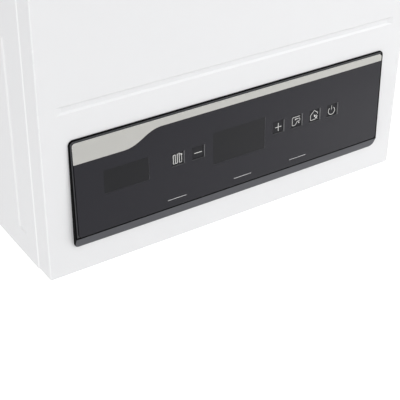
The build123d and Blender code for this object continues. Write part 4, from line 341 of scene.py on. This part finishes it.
finishes = {
    "casingPaint": {"colour": (0.80, 0.802, 0.812), "gloss": 0.33, "tone": 0.008, "patches": 5.0,
                    "spread": 0.05, "grain": 1400.0, "depth": 0.03},
    # painted highlight: a lighter copy of the casing paint, laid on the side panels' front bends
    "paintedBendHighlight": {"colour": (0.94, 0.942, 0.95), "gloss": 0.22, "tone": 0.008, "patches": 5.0,
                  "spread": 0.04, "grain": 1400.0, "depth": 0.02},
    # painted highlight: a lighter copy of the casing paint, on the cover's side bends and on the side
    # channels' forward and upward walls
    "paintedCornerHighlight": {"colour": (0.86, 0.862, 0.87), "gloss": 0.26, "tone": 0.008, "patches": 5.0,
                    "spread": 0.04, "grain": 1400.0, "depth": 0.02},
    # painted shade: a darker copy of the casing paint, on the side panels' faces that turn back or down
    "paintedFoldShade": {"colour": (0.52, 0.524, 0.54), "gloss": 0.33, "tone": 0.008, "patches": 5.0,
                  "spread": 0.05, "grain": 1400.0, "depth": 0.03},
    "innerPaint": {"colour": (0.78, 0.78, 0.77), "gloss": 0.45, "tone": 0.02, "grain": 1400.0,
                   "depth": 0.04},
    "galvanised": {"colour": (0.60, 0.62, 0.64), "metal": 1.0, "gloss": 0.42, "tone": 0.09,
                   "patches": 110.0, "spread": 0.14, "grain": 700.0, "depth": 0.05},
    "rimBlack": {"colour": (0.0015, 0.0015, 0.002), "gloss": 0.45, "tone": 0.1, "patches": 14.0,
                 "spread": 0.05, "grain": 2200.0, "depth": 0.04, "ior": 1.10},
    "chinSatin": {"colour": (0.041, 0.043, 0.054), "gloss": 0.42, "tone": 0.03, "patches": 14.0,
                  "spread": 0.04, "grain": 2200.0, "depth": 0.05},
    # painted shade: the near-black edge colour, a band round the bezel's outline and under the glass
    "rimSatin": {"colour": (0.027, 0.028, 0.033), "edge": (0.002, 0.002, 0.002), "corner": 0.005,
                 "band": 0.0011, "low": 0.0409, "ior": 1.10, "coatGloss": 0.36, "gloss": 0.45,
                 "tone": 0.03, "patches": 14.0, "spread": 0.04, "grain": 2200.0, "depth": 0.05},
    "printedGlass": {"colour": (0.006, 0.0055, 0.011), "gloss": 0.20, "tone": 0.06, "patches": 7.0,
                     "spread": 0.05, "grain": 1500.0, "depth": 0.015, "ior": 1.405},
    # painted highlight: a light grey laid on the key wells' right walls
    "paintedWellHighlight": {"colour": (0.30, 0.30, 0.31), "gloss": 0.45, "tone": 0.1, "patches": 90.0,
                  "grain": 3000.0, "depth": 0.1},
    # painted light: a lighter grey for the key wells' upward floors
    "paintedWellFloorLight": {"colour": (0.10, 0.10, 0.104), "gloss": 0.45, "tone": 0.1, "patches": 90.0,
                  "grain": 3000.0, "depth": 0.1},
    "windowTint": {"colour": (0.002, 0.002, 0.004), "gloss": 0.14, "tone": 0.05, "grain": 1500.0,
                   "depth": 0.01, "ior": 1.375},
    "keyCap": {"colour": (0.028, 0.028, 0.031), "gloss": 0.5, "tone": 0.08, "patches": 60.0,
               "grain": 2600.0, "depth": 0.04, "ior": 1.2},
    # painted highlight: a lighter silver for the wave trim's upper faces and ends
    "paintedSilverHighlight": {"colour": (0.78, 0.775, 0.76), "gloss": 0.3, "tone": 0.02, "patches": 12.0,
                   "grain": 3200.0, "depth": 0.03},
    "silverLacquer": {"colour": (0.525, 0.52, 0.494), "metal": 0.35, "gloss": 0.36, "tone": 0.02,
                      "patches": 12.0, "grain": 3200.0, "depth": 0.05},
    "darkMoulding": {"colour": (0.045, 0.045, 0.048), "gloss": 0.5, "tone": 0.12, "patches": 22.0,
                     "grain": 1500.0, "depth": 0.16},
    "greyMoulding": {"colour": (0.22, 0.225, 0.23), "gloss": 0.52, "tone": 0.08, "patches": 22.0,
                     "grain": 1500.0, "depth": 0.14},
    "redMoulding": {"colour": (0.42, 0.022, 0.018), "gloss": 0.42, "tone": 0.08, "patches": 40.0,
                    "grain": 1800.0, "depth": 0.1},
    "blueMoulding": {"colour": (0.02, 0.07, 0.27), "gloss": 0.42, "tone": 0.08, "patches": 40.0,
                     "grain": 1800.0, "depth": 0.1},
    "solderMask": {"colour": (0.012, 0.10, 0.045), "gloss": 0.32, "tone": 0.2, "patches": 60.0,
                   "grain": 900.0, "depth": 0.2},
    "stainless": {"colour": (0.62, 0.61, 0.59), "metal": 1.0, "gloss": 0.3, "tone": 0.07, "patches": 18.0,
                  "spread": 0.1, "grain": 160.0, "depth": 0.08, "stretch": (1, 1, 14)},
    "castAlloy": {"colour": (0.52, 0.53, 0.54), "metal": 1.0, "gloss": 0.5, "tone": 0.08, "patches": 30.0,
                  "grain": 620.0, "depth": 0.3},
    "copperPipe": {"colour": (0.70, 0.32, 0.19), "metal": 1.0, "gloss": 0.3, "tone": 0.22,
                   "patches": 26.0, "spread": 0.16, "grain": 500.0, "depth": 0.08},
    "forgedBrass": {"colour": (0.66, 0.50, 0.23), "metal": 1.0, "gloss": 0.34, "tone": 0.14,
                    "patches": 36.0, "spread": 0.12, "grain": 800.0, "depth": 0.12},
    "vesselRed": {"colour": (0.36, 0.025, 0.02), "gloss": 0.34, "tone": 0.06, "patches": 12.0,
                  "grain": 1100.0, "depth": 0.08},
    "fibreBoard": {"colour": (0.70, 0.66, 0.56), "gloss": 0.9, "tone": 0.1, "patches": 40.0,
                   "grain": 420.0, "depth": 0.8},
    "gasketRubber": {"colour": (0.03, 0.03, 0.03), "gloss": 0.75, "tone": 0.2, "patches": 60.0,
                     "grain": 900.0, "depth": 0.3},
    "iconInk": {"colour": (0.86, 0.86, 0.84), "gloss": 0.5, "tone": 0.05, "patches": 200.0,
                "grain": 4000.0, "depth": 0.05},
    "lineInk": {"colour": (0.60, 0.60, 0.60), "gloss": 0.5, "tone": 0.08, "patches": 200.0,
                "grain": 4000.0, "depth": 0.05},
}
wearers = {
    "casingPaint": "front_cover left_side_panel right_side_panel top_panel flue_adaptor",
    "innerPaint": "bottom_plate",
    "galvanised": "back_frame wall_bracket sealed_chamber chamber_cover control_box_lid flue_hood "
                  "cover_screws",
    "rimBlack": "panel_bezel",
    "printedGlass": "fascia_glass",
    "windowTint": "display_window gauge_window",
    "keyCap": "key_radiator key_minus key_plus key_tap key_house key_power",
    "silverLacquer": "wave_trim",
    "darkMoulding": "control_box_body diverter_motor pump_motor cable_gland fan_motor",
    "greyMoulding": "air_pressure_switch pump_impeller flow_turbine pump_body",
    "redMoulding": "relief_knob",
    "blueMoulding": "filling_knob",
    "solderMask": "main_board display_board",
    "stainless": "burner_bars combustion_box plate_heat_exchanger fan_impeller electrodes",
    "castAlloy": "fan_housing gas_valve burner_manifold",
    "copperPipe": "heat_exchanger heating_pipes gas_pipe",
    "forgedBrass": "pipe_tails flow_block return_block relief_valve drain_plug diverter_stem air_vent "
                   "flow_sensor_body",
    "vesselRed": "expansion_vessel",
    "fibreBoard": "insulation_boards",
    "gasketRubber": "flue_gasket",
}
made = {name: makeFinish(name, look) for name, look in finishes.items()}
for name, worn in wearers.items():
    for node in worn.split():
        mesh = nodes[node].data
        mesh.materials.clear()
        mesh.materials.append(made[name])
bare = sorted(set(nodes) - {n for worn in wearers.values() for n in worn.split()})
print("finishes on the frame's nodes; left bare:", bare)


def dressFaces(nodeName, finish, wanted):
    # one more finish, on the faces that pass the test; the node's shape stays as it is
    mesh = nodes[nodeName].data
    mesh.materials.append(made[finish])
    for polygon in mesh.polygons:
        if wanted(polygon.normal, polygon.center):
            polygon.material_index = len(mesh.materials) - 1


faces = {
    "slant": 0.2,               # a normal that leans by more than this belongs to a bend
    "square": 0.9,              # shares of a normal that looks square along its axis
    "front": 0.98,
    "sideBend": -0.28,          # the side panels' front bend lies in front of this
    "coverEdge": 0.2,           # and the cover's side bends lie outside this
    "rimPlane": -0.3205,        # the bezel's rim lies in front of this
    # painted shade: the rim's right end of this is painted black over its satin
    "rimEnd": 0.1764,           # its right end, all black
    "chinLean": (0.7, 0.12),    # how far the chin looks to the front and down
    "glassFront": 0.6,
    "keyRow": 0.15,             # the glass's cut edges by the keys lie inside this
    "wellHeights": (0.07, 0.1),
    "waveEdge": 0.3,
}


def dressCasing():
    slant, bend = faces["slant"], faces["sideBend"]
    # painted highlight: the cover's side bends take a lighter paint than the casing
    dressFaces("front_cover", "paintedCornerHighlight",
               lambda way, at: abs(way.x) > slant and way.y < -slant and abs(at.x) > faces["coverEdge"])
    for side in ("left_side_panel", "right_side_panel"):
        # painted highlight: the side panels' front bends take a lighter paint than the casing
        dressFaces(side, "paintedBendHighlight",
                   lambda way, at: abs(way.x) > slant and way.y < -slant and at.y < bend)
        # painted highlight: the side channels' walls that face forward or up take a lighter paint
        dressFaces(side, "paintedCornerHighlight",
                   lambda way, at: abs(way.x) > slant and at.y > bend and (way.y < -slant or way.z > slant))
        # painted shade: the side panels' faces that turn back or down take a darker paint
        dressFaces(side, "paintedFoldShade",
                   lambda way, at: abs(way.x) > slant and (way.y > slant or way.z < -slant))


def dressPanel():
    square, front, waveEdge = faces["square"], faces["front"], faces["waveEdge"]
    chinFront, chinDown = faces["chinLean"]
    wellLow, wellHigh = faces["wellHeights"]
    dressFaces("panel_bezel", "rimSatin", lambda way, at: way.y < -front and at.y < faces["rimPlane"])
    # painted shade: the rim's right end takes the near-black finish in place of its satin
    dressFaces("panel_bezel", "rimBlack", lambda way, at: way.y < -front and at.x > faces["rimEnd"])
    dressFaces("panel_bezel", "chinSatin", lambda way, at: way.z < -chinDown and way.y < -chinFront)
    # painted shade: the glass's cut faces and key wells' walls take the near-black finish, with lighter
    # copies on the wells' right walls and floors below
    dressFaces("fascia_glass", "rimBlack", lambda way, at: abs(way.y) < faces["glassFront"])
    # painted highlight: the key wells' right walls, facing the light, take a light grey
    dressFaces("fascia_glass", "paintedWellHighlight", lambda way, at: way.x < -square and abs(at.x) < faces["keyRow"])
    # painted light: the key wells' upward floors take a lighter grey
    dressFaces("fascia_glass", "paintedWellFloorLight", lambda way, at: way.z > square and wellLow < at.z < wellHigh)
    # painted highlight: the wave trim's faces turned up or sideways take a lighter silver
    dressFaces("wave_trim", "paintedSilverHighlight", lambda way, at: way.z > waveEdge or abs(way.x) > waveEdge)


dressCasing()
dressPanel()
print("bends, rim, chin and glass edges toned")


def moveInto(bm, part):
    mesh = bpy.data.meshes.new("part")
    part.to_mesh(mesh)
    part.free()
    bm.from_mesh(mesh)
    bpy.data.meshes.remove(mesh)


def finishPiece(name, bm, material, body, smooth=False):
    mesh = bpy.data.meshes.new(name)
    bm.to_mesh(mesh)
    bm.free()
    mesh.materials.append(material)
    if smooth:
        for polygon in mesh.polygons:
            polygon.use_smooth = True
        mesh.set_sharp_from_angle(angle=math.radians(smoothUnder))
    piece = bpy.data.objects.new(name, mesh)
    bpy.context.scene.collection.objects.link(piece)
    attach(piece, body)
    return piece


smoothUnder = 34    # degrees: a sharper edge between two faces stays hard
tails = {
    "apart": 0.065,             # from one tail to the next
    "radii": (0.0132, 0.0105, 0.0132, 0.0105, 0.0132),  # G 3/4 and G 1/2 in turn
    "wall": 0.003,
    "lip": 0.0006,              # chamfer round the lower end
    "lead": 0.00181,            # 14 turns to the inch
    "depth": 0.00116,
    "threadTop": -0.014,        # the thread runs from the tail's end up to here
    "crest": 0.18,              # width of the thread's flat top, in leads
    "foot": 0.46,               # half the width of its foot, in leads
    "sunk": 0.0001,             # how far the ridge stands in the core
    "nutLow": 0.004,
    "nutHigh": 0.016,
    "nutRim": 0.003,
    "nutSunk": 0.0012,
    "nutSides": 6,
    "turnSteps": 32,
}
flangeScrews = {
    "turns": (45, 135, 225, 315),
    "fromAxis": 0.070,
    "flangeSheet": 0.003,       # thickness of the flange that they hold
    "washer": 0.0046,
    "washerTop": 0.9,           # the washer's upper radius, as a share of the lower one
    "washerHeight": 0.0008,
    "washerSides": 32,
    "acrossCorners": 0.0070,
    "hexSides": 6,
    "hexHeight": 0.0030,
    "bevel": 0.0003,
    "wall": 0.0007,             # from the head's edge to its hollow
    "socketDepth": 0.0008,
}


def addLathe(bm, section, steps):
    # closed ring: the (radius, height) corners of its section, turned once round the Z axis
    ring = [bm.verts.new((radius, 0, height)) for radius, height in section]
    loop = [bm.edges.new(pair) for pair in zip(ring, ring[1:] + ring[:1])]
    bmesh.ops.spin(bm, geom=ring + loop, cent=(0, 0, 0), axis=(0, 0, 1), angle=math.tau, steps=steps,
                   use_merge=True)


def addHelix(bm, radius, low, high):
    # one ridge of the thread, wound from the tail's end to the shank, closed at both ends
    root = radius - tails["depth"] - tails["sunk"]
    crest = tails["crest"] * tails["lead"] / 2
    foot = tails["foot"] * tails["lead"]
    start = low + foot
    turns = (high - start) / tails["lead"]
    corners = [bm.verts.new((r, 0, start + z)) for r, z in
               ((root, -foot), (radius, -crest), (radius, crest), (root, foot))]
    section = bm.faces.new(corners)
    steps = round(turns * tails["turnSteps"])
    wound = bmesh.ops.spin(bm, geom=list(section.edges), cent=(0, 0, 0), axis=(0, 0, 1),
                           dvec=(0, 0, tails["lead"] * turns / steps), angle=math.tau * turns, steps=steps)
    bmesh.ops.edgenet_fill(bm, edges=[e for e in wound["geom_last"] if isinstance(e, bmesh.types.BMEdge)])


def addTails():
    low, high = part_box("pipe_tails")
    row = (low.y + high.y) / 2
    middle = (len(tails["radii"]) - 1) / 2
    threadTop, nutLow, nutHigh = tails["threadTop"], tails["nutLow"], tails["nutHigh"]
    bm = bmesh.new()
    for place, radius in enumerate(tails["radii"]):
        tail = bmesh.new()
        bore, core, lip = radius - tails["wall"], radius - tails["depth"], tails["lip"]
        addLathe(tail, [(bore, low.z), (core - lip, low.z), (core, low.z + lip), (core, threadTop),
                        (radius, threadTop + tails["depth"]), (radius, high.z), (bore, high.z)],
                 2 * tails["turnSteps"])
        addHelix(tail, radius, low.z, threadTop)
        nutInner = radius - tails["nutSunk"]
        nutOuter = (radius + tails["nutRim"]) / math.cos(math.pi / tails["nutSides"])
        addLathe(tail, [(nutInner, nutLow), (nutOuter, nutLow), (nutOuter, nutHigh), (nutInner, nutHigh)],
                 tails["nutSides"])
        bmesh.ops.recalc_face_normals(tail, faces=tail.faces)
        bmesh.ops.translate(tail, verts=tail.verts, vec=((place - middle) * tails["apart"], row, 0))
        moveInto(bm, tail)
    piece = finishPiece("pipe_tails_threaded", bm, made["forgedBrass"], "boiler", smooth=True)
    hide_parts("pipe_tails")


def addDisc(bm, lower, upper, height, sides):
    return bmesh.ops.create_cone(bm, cap_ends=True, segments=sides, radius1=lower, radius2=upper,
                                 depth=height, matrix=Matrix.Translation((0, 0, height / 2)))


def addFlangeScrews():
    low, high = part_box("flue_gasket")
    seat = Matrix.Translation(
        ((low.x + high.x) / 2, (low.y + high.y) / 2, high.z + flangeScrews["flangeSheet"]))
    outward = Matrix.Translation((flangeScrews["fromAxis"], 0, 0))
    washer, hexRadius = flangeScrews["washer"], flangeScrews["acrossCorners"] / 2
    bm = bmesh.new()
    for turn in flangeScrews["turns"]:
        screw = bmesh.new()
        addDisc(screw, washer, washer * flangeScrews["washerTop"], flangeScrews["washerHeight"],
                flangeScrews["washerSides"])
        head = addDisc(screw, hexRadius, hexRadius, flangeScrews["hexHeight"], flangeScrews["hexSides"])
        top = [f for f in {f for v in head["verts"] for f in v.link_faces} if f.normal.z > faces["square"]]
        bmesh.ops.bevel(screw, geom=[e for f in top for e in f.edges], offset=flangeScrews["bevel"],
                        offset_type="OFFSET", segments=2, profile=0.5, affect="EDGES", material=-1)
        cap = max(screw.faces, key=lambda f: (f.calc_center_median().z, f.calc_area()))
        bmesh.ops.inset_region(screw, faces=[cap], thickness=flangeScrews["wall"], use_even_offset=True)
        bmesh.ops.translate(screw, verts=cap.verts, vec=(0, 0, -flangeScrews["socketDepth"]))
        bmesh.ops.recalc_face_normals(screw, faces=screw.faces)
        spread = Matrix.Rotation(math.radians(turn), 4, "Z") @ outward
        bmesh.ops.transform(screw, verts=screw.verts, matrix=seat @ spread)
        moveInto(bm, screw)
    piece = finishPiece("flue_flange_screws", bm, made["stainless"], "boiler", smooth=True)


addTails()
addFlangeScrews()
print("tails threaded, flange screws in")

mm = 0.001
ink = {
    "lift": 0.00003,        # the print's skin over the face
    "stroke": 0.00055,
    "weights": {"runs": 1, "thin": 0.7, "bold": 1.5},   # shares of the stroke
    "overlap": 0.96,        # how much of its width a stroke is longer than its run
    "dotTurn": 12,
    "arcSteps": 16,
    "weld": 1e-7,
    "lineStroke": 0.0005,
    "lineHeight": 0.0489,   # row of dashes, above the casing's lower edge
    "dashes": ((-0.0821, -0.0614), (-0.0060, 0.0146), (0.0617, 0.0826)),
}


def faceMatrix(nodeName, x, z):
    # the front face's own axes: X to the right, Y up the face, Z out of it
    found, place, normal, _ = nodes[nodeName].ray_cast(Vector((x, -1, z)), Vector((0, 1, 0)))
    if not found:
        raise ValueError(f"no face of {nodeName} at {x}, {z}")
    right = Vector((1, 0, 0))
    up = normal.cross(right).normalized()
    matrix = Matrix((right, up, normal)).transposed().to_4x4()
    matrix.translation = place
    return matrix


def addBar(bm, x, y, width, height, turn=0.0):
    shape = bmesh.ops.create_cube(bm, size=1)
    place = Matrix.Translation((x, y, ink["lift"] / 2)) @ Matrix.Rotation(math.radians(turn), 4, "Z")
    size = Matrix.Diagonal((width, height, ink["lift"], 1))
    bmesh.ops.transform(bm, verts=shape["verts"], matrix=place @ size)


def addRun(bm, points, width):
    # a stroke from point to point, its corners covered by the overlap of its bars
    for (x0, y0), (x1, y1) in zip(points, points[1:]):
        length = math.hypot(x1 - x0, y1 - y0) + width * ink["overlap"]
        turn = math.degrees(math.atan2(y1 - y0, x1 - x0))
        addBar(bm, (x0 + x1) / 2, (y0 + y1) / 2, length, width, turn)


def addArc(bm, x, y, radius, width, start, sweep):
    arc = bmesh.new()
    begin = Matrix.Rotation(math.radians(start), 4, "Z")
    inner, outer = radius - width / 2, radius + width / 2
    corners = [arc.verts.new(begin @ Vector((r, 0, h)))
               for r, h in ((inner, 0), (outer, 0), (outer, ink["lift"]), (inner, ink["lift"]))]
    section = arc.faces.new(corners)
    closing = bmesh.ops.duplicate(arc, geom=[section])
    ends = [v for v in closing["geom"] if isinstance(v, bmesh.types.BMVert)]
    bmesh.ops.rotate(arc, verts=ends, cent=(0, 0, 0), matrix=Matrix.Rotation(math.radians(sweep), 3, "Z"))
    bmesh.ops.spin(arc, geom=list(section.edges), cent=(0, 0, 0), axis=(0, 0, 1),
                   angle=math.radians(sweep), steps=ink["arcSteps"])
    bmesh.ops.remove_doubles(arc, verts=arc.verts, dist=ink["weld"])
    bmesh.ops.translate(arc, verts=arc.verts, vec=(x, y, 0))
    moveInto(bm, arc)


def finishMark(name, bm, matrix, material, body):
    bmesh.ops.recalc_face_normals(bm, faces=bm.faces)
    bmesh.ops.transform(bm, matrix=matrix, verts=bm.verts)
    finishPiece(name, bm, material, body)


# strokes, arcs and dots in millimetres from the middle of each key
keyMarks = {
    "key_radiator": {"runs": [
        ((-4.4, -4.6), (-4.4, 4.3), (-2.2, 4.3), (-2.2, -4.7), (0.0, -4.7), (0.0, 4.5), (2.2, 4.6),
         (2.2, -4.7), (4.2, -4.7), (4.7, -4.0)),
        ((2.2, 4.9), (4.6, 3.4)), ((-4.4, -4.7), (-3.4, -4.7))],
        "thin": [((4.7, -4.0), (4.7, 3.0))],
        "bold": [((0.0, -4.6), (0.0, 4.4)), ((2.2, -4.6), (2.2, 4.5))],
        "dots": [(4.6, 3.3, 1.5, 1.5)]},
    "key_minus": {"shift": (0.3, -0.6), "runs": [((-4.0, 0), (4.0, 0))]},
    "key_plus": {"shift": (0.6, -0.6), "runs": [((-3.6, 0), (3.6, 0)), ((0, -4.1), (0, 4.1))]},
    "key_tap": {"size": 0.9, "runs": [
        ((5.0, 4.7), (-4.5, 4.7), (-5.3, 3.9), (-5.3, -4.2), (-4.4, -5.0), (-1.4, -5.0), (0.2, -3.6),
         (1.2, -1.2), (4.9, -0.7), (5.4, 0.2), (5.4, 1.6), (4.6, 2.3), (-0.6, 2.1))],
        "dots": [(3.9, -2.9, 1.1, 1.7), (-0.9, 1.9, 1.3, 1.3)]},
    "key_house": {"size": 0.88, "shift": (0.2, -0.2), "runs": [
        ((2.0, -5.2), (-4.7, -5.6), (-5.2, -4.9), (-5.2, 0.6), (-0.4, 5.7), (0.5, 5.7), (5.0, 2.4),
         (5.0, 1.0)),
        ((0.2, 0.6), (0.6, -1.8), (3.3, -0.2), (3.0, -3.4)), ((1.0, -2.4), (4.8, -5.0)),
        ((4.8, -2.0), (2.4, -4.4))],
        "dots": [(0.6, -1.0, 1.5, 2.0)]},
    "key_power": {"shift": (0, -0.6), "arcs": [(0, -0.6, 4.1, 128, 284)],
                  "thin": [((0, 5.2), (0, 0.9))]},
}


def addKeyMarks():
    for key, mark in keyMarks.items():
        bm = bmesh.new()
        for weight, share in ink["weights"].items():
            for run in mark.get(weight, []):
                addRun(bm, [(x * mm, y * mm) for x, y in run], ink["stroke"] * share)
        for x, y, width, height in mark.get("dots", []):
            addBar(bm, x * mm, y * mm, width * mm, height * mm, ink["dotTurn"])
        for x, y, radius, start, sweep in mark.get("arcs", []):
            addArc(bm, x * mm, y * mm, radius * mm, ink["stroke"], start, sweep)
        size = mark.get("size", 1)
        bmesh.ops.scale(bm, verts=bm.verts, vec=(size, size, 1))
        right, up = mark.get("shift", (0, 0))
        low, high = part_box(key)
        matrix = faceMatrix(key, (low.x + high.x) / 2 + right * mm, (low.z + high.z) / 2 + up * mm)
        finishMark(key + "_mark", bm, matrix, made["iconInk"], key)


def addDashes():
    bm = bmesh.new()
    middle = faceMatrix("fascia_glass", 0, ink["lineHeight"])
    for left, right in ink["dashes"]:
        addBar(bm, (left + right) / 2, 0, right - left, ink["lineStroke"])
    finishMark("dash_row", bm, middle, made["lineInk"], "boiler")


addKeyMarks()
addDashes()
print("key marks and dash row printed")
